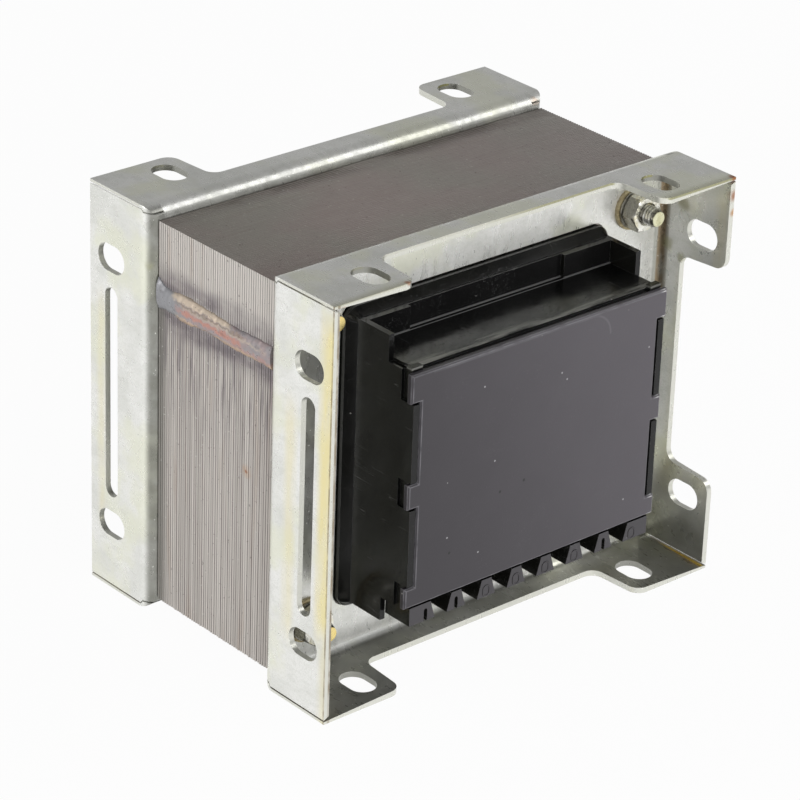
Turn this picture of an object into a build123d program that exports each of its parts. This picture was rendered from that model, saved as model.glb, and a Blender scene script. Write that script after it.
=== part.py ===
from build123d import *
import os
from math import atan2, cos, degrees, radians

os.makedirs("parts", exist_ok=True)

# Sizes in millimetres. X runs across the core, Y through the stack with the terminals at -Y, and Z is up.
# The origin is on the mounting plane, under the middle of the stack.

# Laminated core: E sheets open upwards and are closed by I sheets
core_width = 96.0
stack_depth = 34.0
core_hole = 5.5
sheet_line_pitch = 1.95
sheet_line_width = 0.14
sheet_line_depth = 0.15

# Weld run across the joint of the E and I sheets
weld_width = 5.0
weld_proud = 0.7
weld_rise = 0.9

# Two folded end frames
sheet = 1.2
frame_overhang_x = 1.75
frame_overhang_z = 2.5
flange_depth = 19.0
bend_radius = 3.6
strip_depth = 7.0
ear_length_x = 19.75
ear_length_z = 20.2
ear_slant = 0.8
ear_radius = 2.6
seam_gap = 0.3
frame_hole = 5.6
slot_length = 8.2
slot_width = 5.6
slot_reach = 12.4
slot_inset_x = 13.75
slot_inset_z = 14.2
long_slot_width = 3.9

# Coil former and what is wound on it
fit = 0.3
former_wall = 1.2
former_flange = 1.2
former_corner = 1.5
flange_margin = 2.0
insulation_build = 0.6
wrap_build = 0.8
wrap_gap = 0.4
primary_share = 0.52

# Collars that both hoods press against the core, inside the frames' openings
collar_lip_x = 1.4
collar_lip_z = 1.5
collar_radius = 2.8
collar_rim = 2.3
collar_depth = 4.3
collar_taper = 34.0

# Terminal hood on the front
hood_wall = 1.2
hood_floor = 1.0
hood_front_wall = 2.0
coil_gap = 1.0
fin_depth = 12.9
fin_rise = 4.75
fin_drop = 4.3
wall_depth = 16.6
hood_shoulder = 0.7
pad_rise = 0.6
pad_margin_x = 1.2
pad_margin_y = 0.8
pad_radius = 3.0
ledge_depth = 0.5
thick_ledge_depth = 1.5
thick_ledge_left = 11.2
thick_ledge_right = 13.2
latch_width = 2.6
latch_height = 0.9
latch_depth = 1.4
latch_inset = 0.3

# Comb of wire entries under the cover
post_count = 8
post_top = 2.4
post_bottom = 4.6
post_drop = 3.75
post_depth = 6.9
comb_inset = 0.9
comb_end = 4.9

# Snap-on front cover and the lugs that its notches drop over
cover_thickness = 1.3
cover_overhang = 0.55
cover_gap = 0.2
cover_bevel = 0.35
lug_width = 1.4
lug_height = 15.9
lug_spacing = 21.6
lug_lift = -0.5
lug_gap = 0.3
lug_recess = 0.1

# Terminal tags and the flat leads that come down to them
tag_width = 3.6
tag_thickness = 0.8
tag_height = 12.0
tag_foot = 1.0
lead_width = 1.6
lead_thickness = 0.5

# Rear hood
shroud_gap = 0.7
shroud_wall = 1.3
shroud_round = 1.6
shroud_bevel = 1.0

# Through bolts, M4, with nuts and washers at the front and their heads on the rear frame
bolt_diameter = 4.0
bolt_clearance = 0.15
thread_gap = 0.02
hex_sides = 6
hex_flats = 7.0
head_height = 2.8
nut_height = 3.2
bolt_past_nut = 3.2
washer_diameter = 8.0
washer_thickness = 0.5
washer_play = 0.15
fibre_diameter = 9.0
fibre_thickness = 0.7

# Sheet sizes: both kinds are cut in multiples of a sixth of the core's width
sixth = core_width / 6
leg_width = 2 * sixth
window_width = sixth
yoke_height = sixth
e_height = 4 * sixth
core_height = e_height + yoke_height
joint_height = e_height - core_height / 2
window_height = e_height - yoke_height
bolt_spacing_x = core_width - sixth
bolt_spacing_z = core_height - sixth

# Frame sizes that follow from the core's
frame_width = core_width + 2 * frame_overhang_x
frame_height = core_height + 2 * frame_overhang_z
centre_height = frame_height / 2
ear_inner_x = frame_width / 2 - ear_length_x
ear_inner_z = frame_height / 2 - ear_length_z
slot_spacing_x = frame_width - 2 * slot_inset_x
slot_spacing_z = frame_height - 2 * slot_inset_z
long_slot_length = 2 * ear_inner_z

# Coil sizes that fill the window
former_height = window_height - 2 * fit
tube_inner_x = leg_width + 2 * fit
tube_inner_y = stack_depth + 2 * fit
tube_x = tube_inner_x + 2 * former_wall
tube_y = tube_inner_y + 2 * former_wall
flange_x = leg_width + 2 * window_width - 2 * flange_margin
flange_y = stack_depth + 2 * window_width
coil_height = former_height - 2 * former_flange - 2 * fit
wire_room = window_width - flange_margin - former_wall - 5 * fit - insulation_build - wrap_build - wrap_gap
primary_build = primary_share * wire_room
secondary_build = wire_room - primary_build

# Hood sizes that clear the coil
inner_width = flange_x + 2 * fit
inner_height = former_height + 2 * fit
hood_width = inner_width + 2 * hood_wall
hood_height = inner_height + 2 * hood_floor
hood_depth = window_width + coil_gap + hood_front_wall
hood_root = collar_depth / 2
fin_top = hood_height / 2 + fin_rise
fin_bottom = hood_height / 2 + fin_drop
collar_width = hood_width + 2 * collar_lip_x
collar_height = 2 * (fin_top + collar_lip_z)
cover_top = hood_height / 2 - pad_rise
cover_width = hood_width + 2 * cover_overhang
cover_height = cover_top + inner_height / 2 - cover_gap
notch_width = 2 * (cover_overhang + lug_width + lug_gap)
lug_depth = hood_depth + cover_thickness - lug_recess
entry_pitch = (hood_width - 2 * comb_end) / (post_count - 1)
comb_width = hood_width - 2 * comb_inset
post_bottom_z = -(hood_height / 2 + post_drop - hood_floor)
post_angle = degrees(atan2(post_drop, (post_bottom - post_top) / 2))
shroud_depth = window_width + shroud_gap + shroud_wall
nut_seat = sheet + fibre_thickness + washer_thickness
hex_turn = 180 / hex_sides
hex_radius = hex_flats / (2 * cos(radians(hex_turn)))

# The bolts lie against the upper side of their holes
bolt_lift = (min(core_hole, frame_hole) - bolt_diameter) / 2 - bolt_clearance

# Reference planes: looking at the front, on the two core faces, and level through the core's middle
front_view = Plane(origin=(0, 0, centre_height), x_dir=(1, 0, 0), z_dir=(0, -1, 0))
front_side = front_view.offset(stack_depth / 2)
rear_side = Plane(origin=(0, stack_depth / 2, centre_height), x_dir=(1, 0, 0), z_dir=(0, 1, 0))
level = Plane.XY.offset(centre_height)

# Outlines that stand on a point, centred over it
on_centre_line = (Align.CENTER, Align.MIN)

pieces = {}


# Core. The window and hole outlines are shared by the E and the I sheets.
def core_stack(low, high):
    """The part of the core between two heights above its middle, with its sheet lines and bolt holes."""
    with BuildPart() as stack:
        with BuildSketch(front_view.offset(-stack_depth / 2)):
            with Locations((0, (low + high) / 2)):
                Rectangle(core_width, high - low)
            with Locations((0, joint_height - window_height)):
                with GridLocations(leg_width + window_width, 0, 2, 1):
                    Rectangle(window_width, window_height, align=on_centre_line, mode=Mode.SUBTRACT)
            with GridLocations(bolt_spacing_x, bolt_spacing_z, 2, 2):
                Circle(core_hole / 2, mode=Mode.SUBTRACT)
        extrude(amount=stack_depth)
        line_count = int(stack_depth / sheet_line_pitch) - 1
        inside_x = core_width - 2 * sheet_line_depth
        inside_z = core_height - 2 * sheet_line_depth
        for line in range(line_count):
            place = (line - (line_count - 1) / 2) * sheet_line_pitch - sheet_line_width / 2
            with BuildSketch(front_view.offset(place)):
                Rectangle(core_width, core_height)
                Rectangle(inside_x, inside_z, mode=Mode.SUBTRACT)
        extrude(amount=sheet_line_width, mode=Mode.SUBTRACT)
    return stack.part


pieces["e_laminations"] = core_stack(-core_height / 2, joint_height)
pieces["i_laminations"] = core_stack(joint_height, core_height / 2)


# Weld beads: a low round-backed run on each side face of the core
def weld_bead(side):
    """The run on the left (-1) or right (+1) face of the core."""
    face = side * core_width / 2
    low = joint_height + weld_rise - weld_width / 2
    high = low + weld_width
    with BuildPart() as bead:
        with BuildSketch(front_view):
            with BuildLine():
                Line((face, low), (face, high))
                ThreePointArc((face, high), (face + side * weld_proud, (low + high) / 2), (face, low))
            make_face()
        extrude(amount=stack_depth / 2, both=True)
    return bead.part


pieces["weld_bead_left"] = weld_bead(-1)
pieces["weld_bead_right"] = weld_bead(1)


# End frames: one blank each, folded outwards on all four edges
def folded_frame(side):
    """A frame on a core face: plate with a coil opening, and four flanges with slotted ears."""
    across = Plane(origin=side.origin, x_dir=side.x_dir, z_dir=-side.y_dir)
    upright = Plane(origin=side.origin, x_dir=side.y_dir, z_dir=side.x_dir)
    clear = 2 * sheet

    def tray(inset, radius, depth):
        """The block that a tray fills, with round bends, set in from the frame's outside."""
        with BuildPart() as block:
            for view, span, reach, mode in (
                (across, frame_width, frame_height, Mode.ADD),
                (upright, frame_height, frame_width, Mode.INTERSECT),
            ):
                with BuildSketch(view) as section:
                    with Locations((0, inset)):
                        Rectangle(span - 2 * inset, depth - inset, align=on_centre_line)
                    fillet(section.vertices().group_by(Axis.Y)[0], radius=radius)
                extrude(amount=reach / 2 - inset, both=True, mode=mode)
        return block.part

    with BuildPart() as frame:
        add(tray(0, bend_radius, flange_depth))
        add(tray(sheet, bend_radius - sheet, flange_depth + clear), mode=Mode.SUBTRACT)

        with BuildSketch(side):
            RectangleRounded(collar_width + 2 * fit, collar_height + 2 * fit, collar_radius + fit)
            with GridLocations(bolt_spacing_x, bolt_spacing_z, 2, 2):
                Circle(frame_hole / 2)
        extrude(amount=sheet, mode=Mode.SUBTRACT)

        # Top and bottom flanges are narrow between their ears, and so is the right one
        for view, ear_inner, reach, both in (
            (across, ear_inner_x, frame_height / 2 + clear, True),
            (upright, ear_inner_z, frame_width / 2 + clear, False),
        ):
            tip = ear_inner + ear_slant
            past = tip + 2 * ear_radius
            with BuildSketch(view):
                with BuildLine():
                    FilletPolyline(
                        (-past, flange_depth),
                        (-tip, flange_depth),
                        (-ear_inner, strip_depth),
                        (ear_inner, strip_depth),
                        (tip, flange_depth),
                        (past, flange_depth),
                        radius=ear_radius,
                    )
                    Polyline(
                        (past, flange_depth),
                        (past, flange_depth + clear),
                        (-past, flange_depth + clear),
                        (-past, flange_depth),
                    )
                make_face()
            extrude(amount=reach, both=both, mode=Mode.SUBTRACT)

        # Slotted holes, long way outwards from the core
        with BuildSketch(across):
            with Locations((0, slot_reach)):
                with GridLocations(slot_spacing_x, 0, 2, 1):
                    SlotOverall(slot_length, slot_width, rotation=90)
        extrude(amount=frame_height / 2 + clear, both=True, mode=Mode.SUBTRACT)
        with BuildSketch(upright):
            with Locations((0, slot_reach)):
                with GridLocations(slot_spacing_z, 0, 2, 1):
                    SlotOverall(slot_length, slot_width, rotation=90)
        extrude(amount=frame_width / 2 + clear, both=True, mode=Mode.SUBTRACT)
        with BuildSketch(upright):
            with Locations((0, slot_reach)):
                SlotOverall(long_slot_length, long_slot_width)
        extrude(amount=-(frame_width / 2 + clear), mode=Mode.SUBTRACT)

        # Open seams where the side flanges end under the top and bottom ones
        with BuildSketch(side):
            with GridLocations(frame_width - bend_radius, frame_height - 2 * sheet - seam_gap, 2, 2):
                Rectangle(bend_radius, seam_gap)
        extrude(amount=flange_depth, mode=Mode.SUBTRACT)
    return frame.part


pieces["front_frame"] = folded_frame(front_side)
pieces["rear_frame"] = folded_frame(rear_side)

# Coil former: a square tube on the centre leg with a flange at each end
with BuildPart() as coil_former:
    with BuildSketch(level):
        RectangleRounded(tube_x, tube_y, former_corner)
    extrude(amount=former_height / 2, both=True)
    with BuildSketch(level.offset(-former_height / 2), level.offset(former_height / 2 - former_flange)):
        RectangleRounded(flange_x, flange_y, former_corner)
    extrude(amount=former_flange)
    with BuildSketch(level):
        Rectangle(tube_inner_x, tube_inner_y)
    extrude(amount=former_height / 2, both=True, mode=Mode.SUBTRACT)
pieces["coil_former"] = coil_former.part


# Windings and insulation, each a closed ring round the former's tube
def coil_ring(start, build):
    """A ring that starts at a distance from the tube and is as thick as its build."""
    with BuildPart() as ring:
        with BuildSketch(level.offset(-coil_height / 2)):
            for grow, mode in ((start + build, Mode.ADD), (start, Mode.SUBTRACT)):
                RectangleRounded(tube_x + 2 * grow, tube_y + 2 * grow, former_corner, mode=mode)
        extrude(amount=coil_height)
    return ring.part


ring_start = fit
for name, build in (
    ("primary_winding", primary_build),
    ("interlayer_insulation", insulation_build),
    ("secondary_winding", secondary_build),
    ("outer_wrap", wrap_build),
):
    pieces[name] = coil_ring(ring_start, build)
    ring_start += build + fit


# Collars, the same on both hoods: a straight rim and a tapered front
def collar(side):
    """A solid collar on one face of the core."""
    with BuildPart() as ring:
        for start, end, slope in ((0, collar_rim, 0), (collar_rim, collar_depth, collar_taper)):
            with BuildSketch(side.offset(start)):
                RectangleRounded(collar_width, collar_height, collar_radius)
            extrude(amount=end - start, taper=slope)
    return ring.part


# Terminal hood: collar, shell round the coil end, fins at its sides, a stepped front and the comb below
with BuildPart() as terminal_hood:
    add(collar(front_side))
    with BuildSketch(front_side):
        Rectangle(hood_width, 2 * cover_top)
    extrude(amount=wall_depth)
    with BuildSketch(front_side):
        Rectangle(hood_width - 2 * hood_shoulder, 2 * cover_top)
    extrude(amount=hood_depth)

    # Raised floor of the recess above the coil, and the ledges along its back
    pad_length = hood_depth - pad_margin_y - hood_root
    with BuildSketch(level.offset(-hood_height / 2)):
        with Locations((0, -(stack_depth / 2 + hood_root + pad_length / 2))):
            RectangleRounded(hood_width - 2 * pad_margin_x, pad_length, pad_radius)
    extrude(amount=hood_height)
    with BuildSketch(front_side.offset(hood_root)):
        with Locations((0, hood_height / 2)):
            Rectangle(hood_width, fin_rise, align=on_centre_line)
    extrude(amount=collar_depth + ledge_depth - hood_root)
    with BuildSketch(front_side.offset(hood_root)):
        with Locations((-hood_width / 2, hood_height / 2)):
            Rectangle(thick_ledge_left, fin_rise, align=(Align.MIN, Align.MIN))
        with Locations((hood_width / 2, hood_height / 2)):
            Rectangle(thick_ledge_right, fin_rise, align=(Align.MAX, Align.MIN))
    extrude(amount=collar_depth + thick_ledge_depth - hood_root)

    # Fins
    with BuildSketch(front_side.offset(hood_root)):
        with Locations((0, (fin_top - fin_bottom) / 2)):
            with GridLocations(hood_width - hood_wall, 0, 2, 1):
                Rectangle(hood_wall, fin_top + fin_bottom)
    extrude(amount=fin_depth - hood_root)

    # Comb: tapered posts, the two end ones square on their outer side
    with BuildSketch(front_side.offset(lug_depth)):
        with Locations((0, post_bottom_z)):
            with GridLocations(entry_pitch, 0, post_count, 1):
                Trapezoid(post_bottom, post_drop, post_angle, align=on_centre_line)
            with GridLocations(comb_width - post_bottom, 0, 2, 1):
                Rectangle(post_bottom, post_drop, align=on_centre_line)
    extrude(amount=-post_depth)

    # Lugs, and the latches at the cover's top edge
    with BuildSketch(front_side.offset(wall_depth)):
        with Locations((0, lug_lift)):
            with GridLocations(hood_width - lug_width, lug_spacing, 2, 2):
                Rectangle(lug_width, lug_height)
    extrude(amount=lug_depth - wall_depth)
    with BuildSketch(front_side.offset(hood_depth - latch_depth)):
        with Locations((0, cover_top)):
            with GridLocations(hood_width - 2 * latch_inset - latch_width, 0, 2, 1):
                Rectangle(latch_width, latch_height, align=on_centre_line)
    extrude(amount=latch_depth)

    # Room for the coil end
    with BuildSketch(front_side):
        Rectangle(inner_width, inner_height)
    extrude(amount=hood_depth - hood_front_wall, mode=Mode.SUBTRACT)
pieces["terminal_hood"] = terminal_hood.part

# Front cover: a flat plate, notched at both sides for the lugs
with BuildPart() as front_cover:
    with BuildSketch(front_side.offset(hood_depth)):
        with Locations((0, cover_top)):
            Rectangle(cover_width, cover_height, align=(Align.CENTER, Align.MAX))
        with Locations((0, lug_lift)):
            with GridLocations(cover_width, lug_spacing, 2, 2):
                Rectangle(notch_width, lug_height + 2 * lug_gap, mode=Mode.SUBTRACT)
    extrude(amount=cover_thickness)
    chamfer(front_cover.faces().sort_by(Axis.Y)[0].edges(), length=cover_bevel)
pieces["front_cover"] = front_cover.part

# Terminal tags stand against the hood's front wall, one at each wire entry, with a lead on each
tag_base = -inner_height / 2 + tag_foot
tag_line = hood_depth - hood_front_wall
with BuildPart() as terminal_tags:
    with BuildSketch(front_side.offset(tag_line)):
        with Locations((0, tag_base)):
            with GridLocations(entry_pitch, 0, post_count - 1, 1):
                Rectangle(tag_width, tag_height, align=on_centre_line)
    extrude(amount=-tag_thickness)
pieces["terminal_tags"] = terminal_tags.part

lead_base = tag_base + tag_height
with BuildPart() as winding_leads:
    with BuildSketch(front_side.offset(tag_line)):
        with Locations((0, lead_base)):
            with GridLocations(entry_pitch, 0, post_count - 1, 1):
                Rectangle(lead_width, coil_height / 2 - lead_base, align=on_centre_line)
    extrude(amount=-lead_thickness)
pieces["winding_leads"] = winding_leads.part

# Rear hood: the same collar with a plain closed shell
with BuildPart() as rear_hood:
    with BuildSketch(rear_side):
        RectangleRounded(hood_width, hood_height, shroud_round)
    extrude(amount=shroud_depth)
    chamfer(rear_hood.faces().sort_by(Axis.Y)[-1].edges(), length=shroud_bevel)
    add(collar(rear_side))
    with BuildSketch(rear_side):
        Rectangle(inner_width, inner_height)
    extrude(amount=shroud_depth - shroud_wall, mode=Mode.SUBTRACT)
pieces["rear_hood"] = rear_hood.part

# Through bolts: hexagon heads on the rear frame, nuts at the front
with BuildPart() as through_bolts:
    with BuildSketch(front_side.offset(nut_seat + nut_height + bolt_past_nut)):
        with Locations((0, bolt_lift)):
            with GridLocations(bolt_spacing_x, bolt_spacing_z, 2, 2):
                Circle(bolt_diameter / 2)
    extrude(amount=-(stack_depth + nut_seat + sheet + nut_height + bolt_past_nut))
    with BuildSketch(rear_side.offset(sheet)):
        with Locations((0, bolt_lift)):
            with GridLocations(bolt_spacing_x, bolt_spacing_z, 2, 2):
                RegularPolygon(hex_radius, hex_sides, rotation=hex_turn)
    extrude(amount=head_height)
pieces["through_bolts"] = through_bolts.part

with BuildPart() as hex_nuts:
    with BuildSketch(front_side.offset(nut_seat)):
        with Locations((0, bolt_lift)):
            with GridLocations(bolt_spacing_x, bolt_spacing_z, 2, 2):
                RegularPolygon(hex_radius, hex_sides, rotation=hex_turn)
                Circle(bolt_diameter / 2 + thread_gap, mode=Mode.SUBTRACT)
    extrude(amount=nut_height)
pieces["hex_nuts"] = hex_nuts.part


# Washers under the nuts: a fibre one on the frame and a steel one on that
def washers(start, outer, thickness):
    """Four washers of one size, from a plane outwards, one on each bolt."""
    with BuildPart() as rings:
        with BuildSketch(start):
            with Locations((0, bolt_lift)):
                with GridLocations(bolt_spacing_x, bolt_spacing_z, 2, 2):
                    Circle(outer / 2)
                    Circle(bolt_diameter / 2 + washer_play, mode=Mode.SUBTRACT)
        extrude(amount=thickness)
    return rings.part


fibre_seat = front_side.offset(sheet)
pieces["fibre_washers"] = washers(fibre_seat, fibre_diameter, fibre_thickness)
pieces["steel_washers"] = washers(fibre_seat.offset(fibre_thickness), washer_diameter, washer_thickness)

for name, piece in pieces.items():
    piece.label = name
    export_step(piece, f"parts/{name}.step")
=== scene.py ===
"""Looks for the chassis mount transformer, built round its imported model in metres."""

import logging
import math
from dataclasses import dataclass
from enum import Enum
from functools import reduce

import bmesh
import bpy
from mathutils import Matrix, Vector
from mathutils.geometry import tessellate_polygon

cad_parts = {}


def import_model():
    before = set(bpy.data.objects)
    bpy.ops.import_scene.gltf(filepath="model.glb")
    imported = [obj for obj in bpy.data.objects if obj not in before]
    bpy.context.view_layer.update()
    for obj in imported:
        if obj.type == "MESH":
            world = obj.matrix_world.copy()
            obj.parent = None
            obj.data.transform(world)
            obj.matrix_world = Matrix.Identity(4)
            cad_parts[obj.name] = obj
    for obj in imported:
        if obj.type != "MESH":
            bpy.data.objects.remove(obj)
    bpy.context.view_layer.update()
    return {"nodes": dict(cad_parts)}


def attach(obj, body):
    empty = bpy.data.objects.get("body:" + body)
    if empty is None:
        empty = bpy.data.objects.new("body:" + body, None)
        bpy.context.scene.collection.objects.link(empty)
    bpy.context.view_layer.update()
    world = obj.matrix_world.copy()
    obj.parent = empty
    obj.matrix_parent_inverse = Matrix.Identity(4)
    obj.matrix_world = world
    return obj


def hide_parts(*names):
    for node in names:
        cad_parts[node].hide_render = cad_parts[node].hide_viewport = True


log = logging.getLogger("transformer")

MM = 0.001
CORE_MIDDLE = 42.5
BODY = "root"

Colour = tuple[float, float, float]
Point = tuple[float, float, float]
Outline = list[tuple[float, float]]
# Two places along an axis, then a band's soft border or the values of an ease at both places.
Span = tuple[float, ...]
Socket = bpy.types.NodeSocket
Material = bpy.types.Material
Piece = bpy.types.Object
Shape = bmesh.types.BMesh

EVEN: Point = (1, 1, 1)
RUST: Colour = (0.34, 0.11, 0.03)
PALE_RUST: Colour = (0.52, 0.27, 0.10)
OLIVE: Colour = (0.33, 0.32, 0.16)
BROWN: Colour = (0.22, 0.16, 0.09)
SEAM_LIGHT: Colour = (0.80, 0.62, 0.14)


class Side(Enum):
    """The two faces of the laminated stack, by the sign of Y."""

    FRONT = -1
    REAR = 1


class Hand(Enum):
    """The two side faces of the core, by the sign of X."""

    LEFT = -1
    RIGHT = 1


# Node trees


class Wiring:
    """A node tree, written one node at a time."""

    def __init__(self, tree: bpy.types.NodeTree) -> None:
        """Start on an empty tree."""
        self.tree = tree
        tree.nodes.clear()

    def join(self, value: object, target: Socket) -> None:
        """Link a value or a socket to an input, or set the input's own value."""
        source = value.socket if isinstance(value, Value) else value
        if isinstance(source, Socket):
            self.tree.links.new(source, target)
        else:
            target.default_value = (*source, 1.0) if target.type == "RGBA" else source

    def node(self, kind: str, inputs: dict | None = None, **settings: object) -> bpy.types.Node:
        """Add a node.

        Args:
            kind: Its type.
            inputs: What its inputs get, by name or number: a value, a socket, a number or a colour.
            settings: Its own settings.

        Returns:
            The node.
        """
        node = self.tree.nodes.new(kind)
        for name, setting in settings.items():
            setattr(node, name, setting)
        for key, value in (inputs or {}).items():
            self.join(value, node.inputs[key])
        return node

    def value(self, kind: str, output: str | int, inputs: dict | None = None, **settings: object) -> "Value":
        """Add a node as in node(), and give one of its outputs."""
        return Value(self, self.node(kind, inputs, **settings).outputs[output])


@dataclass(frozen=True)
class Value:
    """A number that a tree works out; sums are written as on plain numbers, and | takes the larger."""

    wiring: Wiring
    socket: Socket

    def calc(self, operation: str, other: object = 0.0) -> "Value":
        """Do one sum with another value."""
        return self.wiring.value("ShaderNodeMath", 0, {0: self, 1: other}, operation=operation)

    def __mul__(self, other: object) -> "Value":
        """Give the product."""
        return self.calc("MULTIPLY", other)

    def __add__(self, other: object) -> "Value":
        """Give the sum."""
        return self.calc("ADD", other)

    def __or__(self, other: object) -> "Value":
        """Give the larger one."""
        return self.calc("MAXIMUM", other)

    def __abs__(self) -> "Value":
        """Give the value without its sign."""
        return self.calc("ABSOLUTE")

    def ease(self, low: float, high: float, start: float = 0.0, end: float = 1.0) -> "Value":
        """Map low..high to start..end, smoothly and without going past either."""
        limits = {"Value": self, "From Min": low, "From Max": high, "To Min": start, "To Max": end}
        return self.wiring.value("ShaderNodeMapRange", "Result", limits, interpolation_type="SMOOTHSTEP")

    def below(self, low: float, high: float, share: float = 1.0) -> "Value":
        """Give a share where the value is below low, and 0 where it is above high."""
        return self.ease(low, high, share, 0.0)

    def band(self, low: float, high: float, soft: float) -> "Value":
        """Give 1 where the value lies between two limits, and 0 beyond a soft border."""
        return self.ease(low - soft, low + soft) * self.below(high - soft, high + soft)

    def spread(self, start: float, end: float) -> "Value":
        """Map the middle of a noise to start..end."""
        return self.ease(0.3, 0.7, start, end)


# Material recipes


@dataclass(frozen=True)
class Stain:
    """A small mark on the object's surface, placed in millimetres."""

    centre: Point
    radius: float
    colour: Colour
    strength: float = 1.0


class Recipe(Wiring):
    """A material's node tree, written step by step on the object's own coordinates."""

    def __init__(self, name: str, colour: Colour) -> None:
        """Start a material with one shader, and with the colour that lies under all others."""
        self.material = bpy.data.materials.new(name)
        self.material.use_nodes = True
        super().__init__(self.material.node_tree)
        self.colour: Colour | Socket = colour
        self.shader = self.node("ShaderNodeBsdfPrincipled")
        self.node("ShaderNodeOutputMaterial", {"Surface": self.shader.outputs["BSDF"]})
        self.coordinates = self.node("ShaderNodeTexCoord")
        self.millimetres = self.patches(1.0)
        self.x, self.y, self.z = self.split(self.millimetres)
        self.facing_x, self.facing_y, self.facing_z = self.split(self.coordinates.outputs["Normal"])

    def split(self, vector: Socket) -> list[Value]:
        """Give the three parts of a vector."""
        return [Value(self, part) for part in self.node("ShaderNodeSeparateXYZ", {0: vector}).outputs]

    def left_faces(self, share: float = 1.0) -> Value:
        """Give a share on the faces that look to the left, and 0 on others."""
        return self.facing_x.below(-0.95, -0.8, share)

    def front_faces(self, share: float = 1.0) -> Value:
        """Give a share on the faces that look to the front, and 0 on others."""
        return self.facing_y.below(-0.95, -0.8, share)

    def patches(self, size: float, seed: float = 0.0, stretch: Point = EVEN, turn: float = 0.0) -> Socket:
        """Give coordinates counted in patches.

        Args:
            size: A patch's size in millimetres.
            seed: Shift that tells one pattern from another.
            stretch: How much longer a patch is along each axis.
            turn: Angle about X, in degrees.

        Returns:
            The vector socket.
        """
        return self.node("ShaderNodeMapping", {
            "Vector": self.coordinates.outputs["Object"],
            "Scale": [1 / (MM * size * part) for part in stretch],
            "Location": (seed, seed * 1.7, seed * 2.3),
            "Rotation": (math.radians(turn), 0, 0),
        }).outputs["Vector"]

    def noise(
        self, size: float, seed: float = 0.0, detail: float = 3.0, stretch: Point = EVEN, turn: float = 0.0
    ) -> Value:
        """Give soft random patches from 0 to 1, as in patches()."""
        inputs = {"Vector": self.patches(size, seed, stretch, turn), "Scale": 1.0, "Detail": detail}
        return self.value("ShaderNodeTexNoise", 0, inputs)

    def cells(self, size: float, seed: float) -> tuple[Value, Value]:
        """Give the distance to the nearest of scattered points, and a random value for each."""
        texture = self.node("ShaderNodeTexVoronoi", {"Vector": self.patches(size, seed), "Scale": 1.0})
        chance = self.value("ShaderNodeSeparateColor", 0, {0: texture.outputs["Color"]})
        return Value(self, texture.outputs["Distance"]), chance

    def away(self, centre: Point) -> Value:
        """Give the distance from a point, in millimetres."""
        ends = {0: self.millimetres, 1: centre}
        return self.value("ShaderNodeVectorMath", "Value", ends, operation="DISTANCE")

    def painted(self, name: str) -> Value:
        """Read a value that the mesh carries."""
        return self.value("ShaderNodeAttribute", "Fac", attribute_name=name)

    def mixed(self, amount: Value, under: Colour | Socket, over: Colour | Socket) -> Socket:
        """Lay one colour over another by a mask."""
        return self.node("ShaderNodeMix", {0: amount, 6: under, 7: over}, data_type="RGBA").outputs[2]

    def coat(self, colour: Colour | Socket, amount: Value) -> None:
        """Lay a colour over all that is there, by a mask."""
        self.colour = self.mixed(amount, self.colour, colour)

    def blot(self, stain: Stain, ragged: float = 0.4) -> None:
        """Lay a mark over all that is there, whose border wanders by a share of its radius."""
        radius = stain.radius
        wander = self.noise(radius * 0.7, stain.centre[0]) * (2 * radius * ragged)
        spot = (self.away(stain.centre) + wander).below(radius * 0.6, radius * (1 + ragged))
        self.coat(stain.colour, spot * stain.strength)

    def speckle(self, colour: Colour, size: float, seed: float, low: float, amount: float) -> None:
        """Scatter specks over all that is there, rarer the higher they start in the noise."""
        self.coat(colour, self.noise(size, seed, 2).ease(low, low + 0.05, 0.0, amount))

    def relief(self, height: Value, depth: float) -> None:
        """Raise the surface by a height map from 0 to 1, where 1 stands for the depth in millimetres."""
        bump = self.node("ShaderNodeBump", {"Distance": depth * MM, "Height": height})
        normal = self.shader.inputs["Normal"]
        if normal.is_linked:
            self.join(normal.links[0].from_socket, bump.inputs["Normal"])
        self.join(bump.outputs["Normal"], normal)

    def finish(self, roughness: Value, metallic: float) -> Material:
        """Set the shader's main inputs and return the material."""
        for name, value in (("Base Color", self.colour), ("Roughness", roughness), ("Metallic", metallic)):
            self.join(value, self.shader.inputs[name])
        return self.material


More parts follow.
